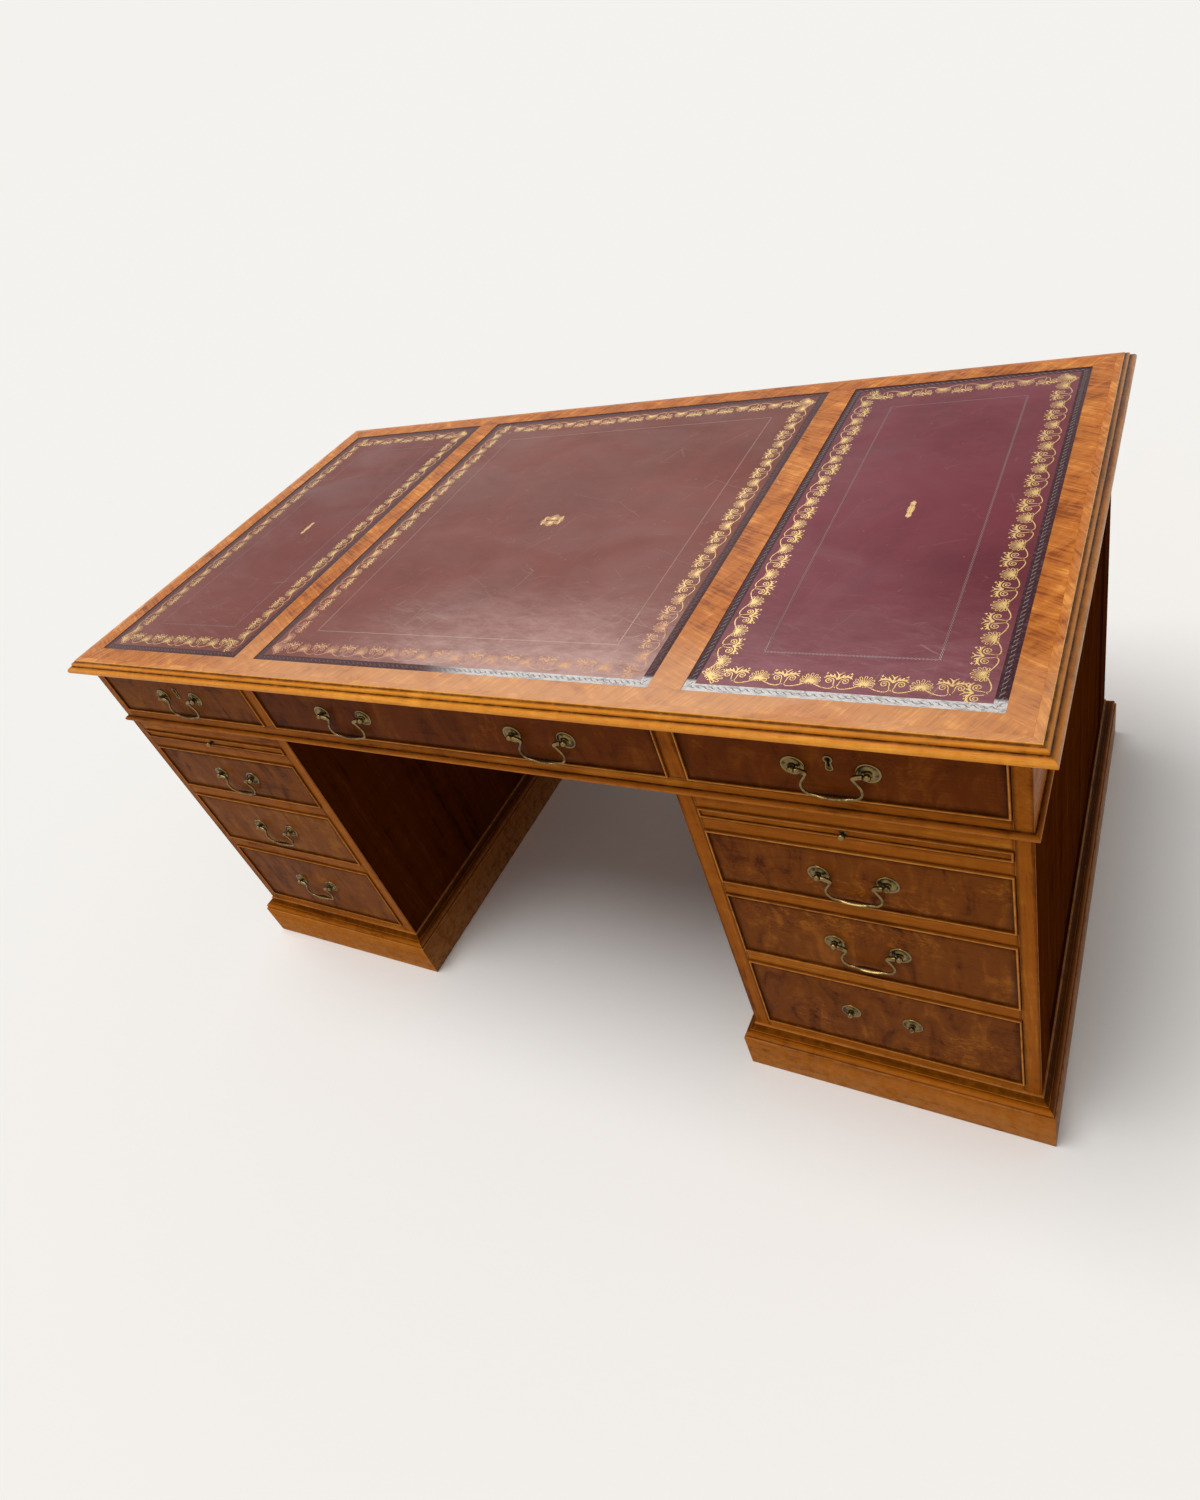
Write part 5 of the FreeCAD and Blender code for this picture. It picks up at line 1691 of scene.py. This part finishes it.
@dataclass
class Drawer:
    """Cockbeaded drawer with a lined box, its handles and its lock."""

    node: str
    fittings: str
    bails: Sequence[str]
    face: Face
    veneer: WoodFinish
    handle_xs: Sequence[float]
    handle_z: float
    key_x: float | None = None
    key_rise: float = 15.3 * MM
    bead: float = 3.0 * MM
    thickness: float = 20.0 * MM
    side_inset: float = 1.0 * MM
    side_drop: float = 6.0 * MM
    wall: float = 10.0 * MM
    bottom: float = 6.0 * MM
    slip: float = 8.0 * MM

    def __post_init__(self) -> None:
        """Read the drawer's place from the frame."""
        self.xs, ys, self.zs = spans_of(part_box(self.node))
        self.length = ys[1] - ys[0] - self.bead

    def keyhole(self) -> Matrix:
        """Place of the keyhole, for a drawer that has one."""
        return self.face.plant(self.key_x, self.handle_z + self.key_rise)

    def front(self) -> Object:
        """Veneered front inside the cockbeads, with its keyhole.

        Returns:
            The front.
        """
        obj = board(shrink(self.xs, self.bead), self.face.depth(0.0, self.thickness),
                    shrink(self.zs, self.bead), ALONG_X, SHARP_ARRIS, -0.8, DRAWER_SHADE)
        if self.key_x is not None:
            cut(obj, brasswork().keyhole, self.keyhole(), ALONG_X)
        return obj

    def box(self) -> Object:
        """Sides, back, bottom and slips.

        Returns:
            The joined box.
        """
        ys = self.face.depth(self.thickness, self.length)
        back = self.face.depth(self.length - self.wall, self.length)
        outside = shrink(self.xs, self.side_inset)
        inside = shrink(outside, self.wall)
        low, top, floor = self.zs[0], self.zs[1] - self.side_drop, self.zs[0] + self.slip
        parts = [board(xs, ys, (low, top), ALONG_Y) for xs in ends(outside, self.wall)]
        parts.append(board(inside, back, (floor + self.bottom, top), ALONG_X))
        parts.append(board(inside, ys, (floor, floor + self.bottom), ALONG_X))
        parts += [board(xs, ys, (low, floor), ALONG_Y) for xs in ends(inside, self.slip)]
        return join(parts)

    def build(self) -> None:
        """Make and dress the drawer with its brass."""
        body = self.node
        settle(self.front(), f"{body}_front", self.veneer, body, [body])
        settle(cockbeads(self.xs, self.zs, self.face, 0.8), f"{body}_cockbeads", COCKBEAD, body)
        settle(self.box(), f"{body}_box", LINING, body)
        handles = [self.face.plant(x, self.handle_z) for x in self.handle_xs]
        fixed = [piece for place in handles for piece in brasswork().handle(place)]
        for bail, place in zip(self.bails, handles):
            settle(brasswork().swinging_bail(place), f"{bail}_brass", BRASS, bail, [bail])
        if self.key_x is not None:
            fixed += brasswork().lock(self.keyhole())
        settle(join(fixed), f"{self.fittings}_brass", BRASS, body, [self.fittings])


# ---- frieze
@dataclass
class Frieze:
    """Frieze carcass with its six drawers and the bead round its foot."""

    rail_depth: float = 20.0 * MM
    top_rail_depth: float = 60.0 * MM
    muntin_depth: float = 40.0 * MM
    partition: float = 16.0 * MM
    soffit: float = 12.0 * MM
    runner: float = 22.0 * MM
    handle_drop: float = 2.0 * MM

    def __post_init__(self) -> None:
        """Read the height of the drawers from the frame."""
        self.drawer_zs = spans_of(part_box("front_frieze_drawer_right"))[2]

    def bead_section(self) -> Outline:
        """Bead planted round the bottom edge of the frieze; its tones paint its upturned top darker and
        its nose lighter: painted shade and painted light.
        """
        return [(0, 0, -0.5), (1.88, 0, -0.5),
                (1.88, 9.24, -0.45, (6.5, 4.62), 0.25), (0.98, 9.24, -0.9),
                (0, 11, -0.9)]

    def carcass(self) -> Object:
        """Ends, rails, muntins, partitions, soffit and runners.

        Returns:
            The joined carcass.
        """
        opening = shrink(self.drawer_zs, -DESK.gap)
        floor = DESK.frieze_low + self.soffit
        wide, thick = DESK.opening_outer, self.partition / 2
        wall = (DESK.kneehole + DESK.opening_inner) / 2
        parts = []
        for face in Face:
            for zs, depth in (((DESK.frieze_low, opening[0]), self.rail_depth),
                              ((opening[1], DESK.frieze_high), self.top_rail_depth)):
                parts.append(board(about(wide), face.depth(0.0, depth), zs, ALONG_X, shade=RAIL_SHADE))
            for side in Side:
                parts.append(board(
                    side.span(DESK.kneehole, DESK.opening_inner), face.depth(0.0, self.muntin_depth),
                    opening, ALONG_Z, shade=RAIL_SHADE))
        for side in Side:
            parts.append(board(
                side.span(wide, DESK.half_x), about(DESK.half_y), (DESK.frieze_low, DESK.frieze_high),
                ALONG_Y, shade=RAIL_SHADE))
            parts.append(board(
                side.span(wall - thick, wall + thick), about(DESK.half_y - self.muntin_depth),
                (floor, opening[1]), ALONG_Y))
        inside = about(DESK.half_y - self.rail_depth)
        parts.append(board(about(wide), inside, (DESK.frieze_low, floor), ALONG_X))
        for bay in (about(wall - thick), (wall + thick, wide), (-wide, -wall - thick)):
            parts.append(board(bay, about(thick), opening, ALONG_X))
            for xs in ends(bay, self.runner):
                parts.append(board(xs, inside, (floor, opening[0]), ALONG_Y))
        return join(parts)

    def drawers(self) -> Iterator[Drawer]:
        """The six drawers, three on each face."""
        handle_z = middle(self.drawer_zs) - self.handle_drop
        outer = (DESK.opening_inner + DESK.opening_outer) / 2
        inner = DESK.kneehole / 2
        for face in Face:
            stem = f"{face.name.lower()}_frieze"
            for name, handles, key in (("left", [-outer], -outer), ("centre", [-inner, inner], None),
                                       ("right", [outer], outer)):
                bails = ([f"{stem}_bail_{name}"] if len(handles) == 1
                         else [f"{stem}_bail_{name}_{index}" for index in (1, 2)])
                # The centre and right frieze drawers take the darker veneer: painted shade under the
                # top.
                yield Drawer(
                    f"{stem}_drawer_{name}", f"{stem}_fittings_{name}", bails, face,
                    PLAIN_BURR if name == "left" else SHADED_FRIEZE_BURR, [-face.value * x for x in handles],
                    handle_z, None if key is None else -face.value * key)

    def build(self) -> None:
        """Make and dress the frieze."""
        settle(self.carcass(), "frieze_carcass", YEW, ROOT, ["frieze_frame"])
        bead = mitred_frame(self.bead_section(), DESK.half_x, DESK.half_y)
        settle(put(bead, at(z=DESK.frieze_low)), "frieze_bead", COCKBEAD, ROOT,
               ["frieze_bead_moulding"])
        for drawer in self.drawers():
            drawer.build()


# ---- pedestals
def lip(obj: Object, sides: Finish, lipping: Finish) -> Object:
    """Dress what shows on the front and the rear in another finish than the rest, which takes a darker
    one: painted shade on the faces that look sideways.
    """
    dress(obj, (sides, lipping), lambda polygon: abs(polygon.center.y) > DESK.half_y - MM)
    return obj


@dataclass
class Pedestal:
    """Pedestal: carcass, rails, plinth, drawers, writing slide and rear cupboard."""

    side: Side
    stile_width: float = 78.0 * MM
    panel_recess: float = 4.5 * MM
    panel: float = 12.0 * MM
    rail_depth: float = 20.0 * MM
    dividing_depth: float = 50.0 * MM
    partition: float = 16.0 * MM
    ceiling: float = 12.0 * MM
    floor: float = 14.0 * MM
    runner_width: float = 14.0 * MM
    runner_height: float = 12.0 * MM
    shelf_height: float = 362.0 * MM
    shelf: float = 16.0 * MM
    shelf_setback: float = 48.0 * MM
    glue_block: float = 45.0 * MM
    low_handle_rise: float = 5.0 * MM
    fillet_drop: float = 1.0 * MM
    slide_gap: float = 0.8 * MM
    board_height: float = 77.0           # of the plinth below its moulding, millimetres

    def __post_init__(self) -> None:
        """Read the heights and the openings from the frame."""
        self.foot = spans_of(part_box(self.side.node("pedestal_carcass")))[2][0]
        self.floor_z = spans_of(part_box(self.side.node("plinth")))[2][1]
        self.bay = self.side.span(DESK.opening_inner, DESK.opening_outer)
        self.openings = {name: shrink(spans_of(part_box(self.side.node(f"drawer_{name}")))[2], -DESK.gap)
                         for name in ("top", "middle", "bottom")}

    def carcass(self) -> Object:
        """Kneehole side, outer frame and panel, floor, ceiling and partition.

        Returns:
            The joined carcass.
        """
        span, top = self.side.span, DESK.frieze_low
        upright = (self.foot, top)
        parts = [board(span(DESK.kneehole, DESK.opening_inner), about(DESK.half_y), upright,
                       ALONG_Z, shade=RAIL_SHADE)]
        for face in Face:
            parts.append(board(
                span(DESK.opening_outer, DESK.half_x), face.depth(0.0, self.stile_width), upright,
                ALONG_Z, shade=RAIL_SHADE))
        between = about(DESK.half_y - self.stile_width)
        panel_x = DESK.half_x - self.panel_recess
        parts.append(board(
            span(panel_x - self.panel, panel_x), between, upright, ALONG_Z, SHARP_ARRIS, wear=-0.9))
        parts.append(board(
            span(panel_x, DESK.half_x), between, (self.foot, self.floor_z - self.fillet_drop), ALONG_Y))
        inside, ceiling_z = about(DESK.half_y - self.rail_depth), top - self.ceiling
        for ys, zs in ((inside, (self.floor_z - self.floor, self.floor_z)),
                       (inside, (ceiling_z, top)),
                       (about(self.partition / 2), (self.floor_z, ceiling_z))):
            parts.append(board(self.bay, ys, zs, ALONG_X))
        return join(parts)

    def rails(self) -> Object:
        """Rails between the drawers, their runners and the cupboard shelf.

        Returns:
            The joined rails.
        """
        slide = shrink(spans_of(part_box(self.side.node("slide")))[2], -self.slide_gap)
        stack = (self.openings["bottom"], self.openings["middle"], self.openings["top"], slide)
        edges = [self.foot, *(edge for opening in stack for edge in opening), DESK.frieze_low]
        rails = list(zip(edges[::2], edges[1::2]))
        depths = (self.rail_depth, *[self.dividing_depth] * 3, self.rail_depth)
        parts = [board(self.bay, Face.FRONT.depth(0.0, depth), zs, ALONG_X, shade=RAIL_SHADE)
                 for zs, depth in zip(rails, depths)]
        parts += [board(self.bay, Face.REAR.depth(0.0, self.rail_depth), zs, ALONG_X)
                  for zs in (rails[0], rails[-1])]
        rear = self.partition / 2
        shelf = (rear, DESK.half_y - self.shelf_setback)
        runs = [(zs[1], (-DESK.half_y + self.dividing_depth, -rear)) for zs in rails[1:4]]
        runs += [(z, (-DESK.half_y + self.rail_depth, -rear))
                 for z in (rails[0][1], DESK.frieze_low - self.ceiling)]
        for z, ys in (*runs, (self.shelf_height, shelf)):
            for xs in ends(self.bay, self.runner_width):
                parts.append(board(xs, ys, (z - self.runner_height, z), ALONG_Y))
        parts.append(board(
            self.bay, shelf, (self.shelf_height, self.shelf_height + self.shelf), ALONG_X))
        return join(parts)

    def plinth(self) -> Object:
        """Mitred boards, the moulding above them and the glue blocks.

        Returns:
            The joined plinth.
        """
        boards = [(0, 0), (19.0, 0, -0.5), (20, 1.0, 0.6), (20, 75, 0.2),
                  (19.4, 76.4, 0.6), (18, 77, 0.1), (0, 77, -0.8)]
        cove = [
            (0, 0), (17, 0, -1.0), (17, 2.5, 0.3), (10, 11, -0.7, (15.4, 8.6), 0.1), (10, 12.8, 0.5),
            (9, 12.8, -0.6), (2.6, 21, -0.5, (4.6, 15), -0.8), (2.6, 22.8, 0.6), (0, 25, 0.1)]
        xs = (DESK.kneehole, DESK.half_x)
        parts = [put(mitred_frame(steps, half(xs), DESK.half_y),
                     at(middle(xs) * self.side.value, 0, low * MM))
                 for steps, low in ((boards, 0.0), (cove, self.board_height))]
        for block in ends(xs, self.glue_block):
            for face in Face:
                parts.append(board(
                    self.side.span(*block), face.depth(0.0, self.glue_block), (0, self.foot), ALONG_Z))
        return join(parts)

    def build(self) -> None:
        """Make and dress the pedestal."""
        node = self.side.node
        carcass = lip(self.carcass(), SHADED_SIDE_YEW, YEW)
        plinth = lip(self.plinth(), SHADED_YEW, PLINTH_YEW)
        settle(carcass, node("pedestal_carcass_boards"), SHADED_SIDE_YEW, ROOT, [node("pedestal_carcass")])
        settle(self.rails(), node("pedestal_rail_boards"), YEW, ROOT, [node("pedestal_rails")])
        settle(plinth, node("plinth_boards"), PLINTH_YEW, ROOT, [node("plinth")])
        veneer = BURR if self.side is Side.RIGHT else PLAIN_BURR
        for name, opening in self.openings.items():
            rise = self.low_handle_rise if name == "bottom" else 0.0
            bail = node(f"bail_{name}")
            Drawer(node(f"drawer_{name}"), node(f"fittings_{name}"),
                   [bail] if bail in frame["bodies"] else [], Face.FRONT, veneer,
                   [middle(self.bay)], middle(opening) + rise).build()
        WritingSlide(self.side).build()
        CupboardDoor(self.side).build()


@dataclass
class WritingSlide:
    """Writing slide: cockbeaded front strip, board, leather and knob."""

    side: Side
    thickness: float = 20.0 * MM
    bead: float = 3.0 * MM
    margin: float = 30.0 * MM
    leather: float = 1.5 * MM

    def build(self) -> None:
        """Make and dress the slide."""
        body = self.side.node("slide")
        xs, ys, zs = spans_of(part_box(body))
        front = Face.FRONT.depth(0.0, self.thickness)
        deck_ys, top = (front[1], ys[1]), zs[1]
        hide_xs, hide_ys = shrink(xs, self.margin), shrink(deck_ys, self.margin)
        strip = board(shrink(xs, self.bead), front, shrink(zs, self.bead), ALONG_X,
                      SHARP_ARRIS, wear=-0.8)
        beads = cockbeads(xs, zs, Face.FRONT, 0.7)
        deck = board(xs, deck_ys, zs, ALONG_X)
        recess = keep_pattern(board(
            hide_xs, hide_ys, (top - self.leather, top + self.leather), ALONG_X, SHARP_ARRIS))
        cut(deck, recess, at(), ALONG_X)
        settle(join([strip, beads, deck]), f"{body}_boards", YEW, body, [body])
        lining = board(hide_xs, hide_ys, (top - self.leather, top), ALONG_Y, LEATHER_ARRIS)
        settle(lining, f"{body}_hide", SLIDE_HIDE, body)
        knob = stamp(brasswork().slide_knob, Face.FRONT.plant(middle(xs), middle(zs)))
        settle(knob, f"{body}_knob_brass", BRASS, body, [f"{body}_knob"])


@dataclass
class CupboardDoor:
    """Rear cupboard door with its panel, moulding, hinges, knob and lock."""

    side: Side
    thickness: float = 20.0 * MM
    stile: float = 62.0 * MM
    panel: float = 8.0 * MM
    panel_recess: float = 7.0 * MM
    knob_rise: float = 30.0 * MM
    key_drop: float = 52.0 * MM
    hinge_inset: float = 60.0 * MM
    hinge_height: float = 50.0 * MM
    hinge_depth: float = 18.0 * MM
    leaf: float = 1.2 * MM
    leaf_gap: float = 0.3 * MM
    axis_out: float = 3.6 * MM
    knuckle: float = 3.2 * MM
    pin: float = 1.4 * MM
    knuckles: int = 5

    def __post_init__(self) -> None:
        """Read the door's place from the frame and work out those of its brass."""
        self.node = self.side.node("cupboard_door")
        self.xs, _, self.zs = spans_of(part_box(self.node))
        self.knob_x = self.side.value * (DESK.opening_inner + DESK.gap + self.stile / 2)
        self.knob_z = middle(self.zs) + self.knob_rise
        self.keyhole = Face.REAR.plant(self.knob_x, self.knob_z - self.key_drop)
        self.axis_x = self.side.value * (DESK.opening_outer - self.leaf - self.leaf_gap / 2)
        self.axis_y = DESK.half_y + self.axis_out
        self.hinges = ends(shrink(self.zs, self.hinge_inset), self.hinge_height)

    def mould_section(self) -> Outline:
        """Moulding round the panel, its line on the inner edge of the frame."""
        return [(-12, -7, -0.9), (0, -7), (0, 1.6, -0.6),
                (-3.6, 1.4, 0.1, (-1.8, 2.6), 0.7), (-3.6, 0.4, -0.8),
                (-12, -5.6, -0.4, (-7.0, -4.6), 0.1)]

    def woodwork(self) -> Object:
        """Frame, panel and moulding.

        Returns:
            The joined door.
        """
        ys = Face.REAR.depth(0.0, self.thickness)
        inner_xs, inner_zs = shrink(self.xs, self.stile), shrink(self.zs, self.stile)
        parts = []
        for xs in ends(self.xs, self.stile):
            upright = board(xs, ys, self.zs, ALONG_Z)
            if xs[0] < self.knob_x < xs[1]:
                cut(upright, brasswork().keyhole, self.keyhole, ALONG_Z)
            parts.append(upright)
        parts += [board(inner_xs, ys, zs, ALONG_X) for zs in ends(self.zs, self.stile)]
        panel_ys = Face.REAR.depth(self.panel_recess, self.panel_recess + self.panel)
        parts.append(board(inner_xs, panel_ys, inner_zs, ALONG_Z, SHARP_ARRIS))
        mould = mitred_frame(
            self.mould_section(), half(self.xs) - self.stile, half(self.zs) - self.stile)
        parts.append(put(mould, Face.REAR.plant(middle(self.xs), middle(self.zs))))
        return join(parts)

    def hinge_part(self, zs: Span, leaf_x: float, first: int) -> list[Object]:
        """Leaf of a hinge with every second knuckle.

        Args:
            zs: Span of the hinge in Z.
            leaf_x: Distance of the leaf's inner face from the middle of the desk.
            first: Index of its first knuckle.

        Returns:
            The leaf and its knuckles.
        """
        xs = self.side.span(leaf_x, leaf_x + self.leaf)
        low_y, high_y = Face.REAR.depth(0.0, self.hinge_depth)
        leaf_y = high_y - self.leaf_gap
        parts = [board(xs, (low_y, leaf_y), zs, ALONG_Z, 0.25 * MM, wear=0.5)]
        pitch = self.hinge_height / self.knuckles
        for index in range(first, self.knuckles, 2):
            low, high = zs[0] + index * pitch, zs[0] + (index + 1) * pitch
            parts.append(rod((self.axis_x, self.axis_y, zs[0] + (index + 0.5) * pitch),
                             self.knuckle, pitch - self.leaf_gap, 20, 0.3))
            parts.append(board(xs, (leaf_y, self.axis_y), shrink((low, high), self.leaf_gap / 2),
                               ALONG_Z, 0.1 * MM, wear=0.3))
        return parts

    def fixed_hinges(self) -> Object:
        """Carcass leaves and pins of both hinges.

        Returns:
            The joined hinges.
        """
        parts = []
        for zs in self.hinges:
            parts += self.hinge_part(zs, DESK.opening_outer - self.leaf, 0)
            parts.append(rod((self.axis_x, self.axis_y, zs[0] + self.hinge_height / 2), self.pin,
                             self.hinge_height, 16, 0.0))
        return join(parts)

    def build(self) -> None:
        """Make and dress the door."""
        settle(self.woodwork(), f"{self.node}_woodwork", YEW, self.node, [self.node])
        fittings = [stamp(brasswork().door_knob, Face.REAR.plant(self.knob_x, self.knob_z))]
        fittings += brasswork().lock(self.keyhole)
        leaf_x = DESK.opening_outer - 2 * self.leaf - self.leaf_gap
        for zs in self.hinges:
            fittings += self.hinge_part(zs, leaf_x, 1)
        settle(join(fittings), self.side.node("door_fittings_brass"), BRASS, self.node,
               [self.side.node("door_fittings")])
        settle(self.fixed_hinges(), self.side.node("door_hinges_brass"), BRASS, ROOT, ["door_hinges"])


# ---- studio
@dataclass
class Studio:
    """Pale floor, soft light and the camera."""

    floor_colour: Colour = (0.905, 0.888, 0.855)
    floor_half: float = 300.0
    ambient: float = 0.27
    sun_strength: float = 2.38
    sun_angle: float = math.radians(40)
    sun_from: Triple = (-0.22, -0.12, 0.95)
    window_place: Triple = (-1.2, 1.9, 2.9)
    window_aim: Triple = (0, 0, 0.8)
    window_size: tuple[float, float] = (2.4, 1.2)
    window_power: float = 32.0
    camera_place: Triple = (0.9155, -1.1581, 1.4881)
    camera_turn: Triple = (51.1327, 16.8495, 26.4305)   # degrees
    lens: float = 22.77
    shift: tuple[float, float] = (-0.00435, -0.0249)

    def floor(self) -> None:
        """Plain pale floor."""
        bpy.ops.mesh.primitive_plane_add(size=2 * self.floor_half, location=(0, 0, 0))
        obj = fix_place(bpy.context.object)
        obj.name = "studio_floor"
        make, material, shader = Finish("studio_floor", "").start()
        make.feed(shader, {"Base Color": self.floor_colour, "Roughness": 0.9,
                           "Specular IOR Level": 0.0})
        obj.data.materials.append(material)

    def world(self) -> None:
        """Even surrounding light; what looks at it sees the pale backdrop."""
        world = bpy.data.worlds.new("studio")
        world.use_nodes = True
        world.node_tree.nodes.clear()
        make = Recipe(world.node_tree)
        rays = make.node("ShaderNodeLightPath").outputs
        seen = make.most(
            rays["Is Camera Ray"], make.most(rays["Is Glossy Ray"], rays["Is Transmission Ray"]))
        strength = make.plus(self.ambient, make.times(seen, 1 - self.ambient))
        colour = make.mix(seen, (1.0, 1.0, 1.0), self.floor_colour)
        back = make.node("ShaderNodeBackground", {"Color": colour, "Strength": strength})
        make.node("ShaderNodeOutputWorld", {"Surface": back.outputs[0]})
        bpy.context.scene.world = world

    def light(self) -> None:
        """One broad soft light from above, and a window that only polish shows."""
        towards = Vector(self.sun_from).to_track_quat("Z", "Y").to_euler()
        bpy.ops.object.light_add(type="SUN", rotation=towards)
        sun = bpy.context.object
        sun.name = "soft_overhead"
        sun.data.energy = self.sun_strength
        sun.data.angle = self.sun_angle
        aim = Vector(self.window_place) - Vector(self.window_aim)
        bpy.ops.object.light_add(
            type="AREA", location=self.window_place, rotation=aim.to_track_quat("Z", "Y").to_euler())
        window = bpy.context.object
        window.name = "window"
        window.data.shape = "RECTANGLE"
        window.data.size, window.data.size_y = self.window_size
        window.data.energy = self.window_power
        window.visible_diffuse = False

    def camera(self) -> None:
        """Camera at the standing viewer's place, looking down along the desk."""
        data = bpy.data.cameras.new("viewer")
        data.sensor_width = 36.0
        data.sensor_fit = "AUTO"
        data.lens = self.lens
        data.shift_x, data.shift_y = self.shift
        data.clip_start = 0.02
        obj = bpy.data.objects.new("viewer", data)
        bpy.context.scene.collection.objects.link(obj)
        heading = Euler([math.radians(angle) for angle in self.camera_turn], "XYZ")
        obj.matrix_world = at(*self.camera_place) @ heading.to_matrix().to_4x4()
        bpy.context.scene.camera = obj

    def build(self) -> None:
        """Set the whole studio up."""
        bpy.context.scene.view_settings.view_transform = "Standard"
        self.floor()
        self.world()
        self.light()
        self.camera()


def dress_nodes() -> None:
    """Give the node that stays, the ground board of the top, its finish."""
    node = frame["nodes"]["top_board"]
    node.data.materials.clear()
    node.data.materials.append(material_of(LINING))


def main() -> None:
    """Build the desk and the studio."""
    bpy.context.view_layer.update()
    bpy.ops.object.select_all(action="DESELECT")
    dress_nodes()
    WorkingTop().build()
    Frieze().build()
    for side in Side:
        Pedestal(side).build()
    Studio().build()


if __name__ == "__main__":
    main()
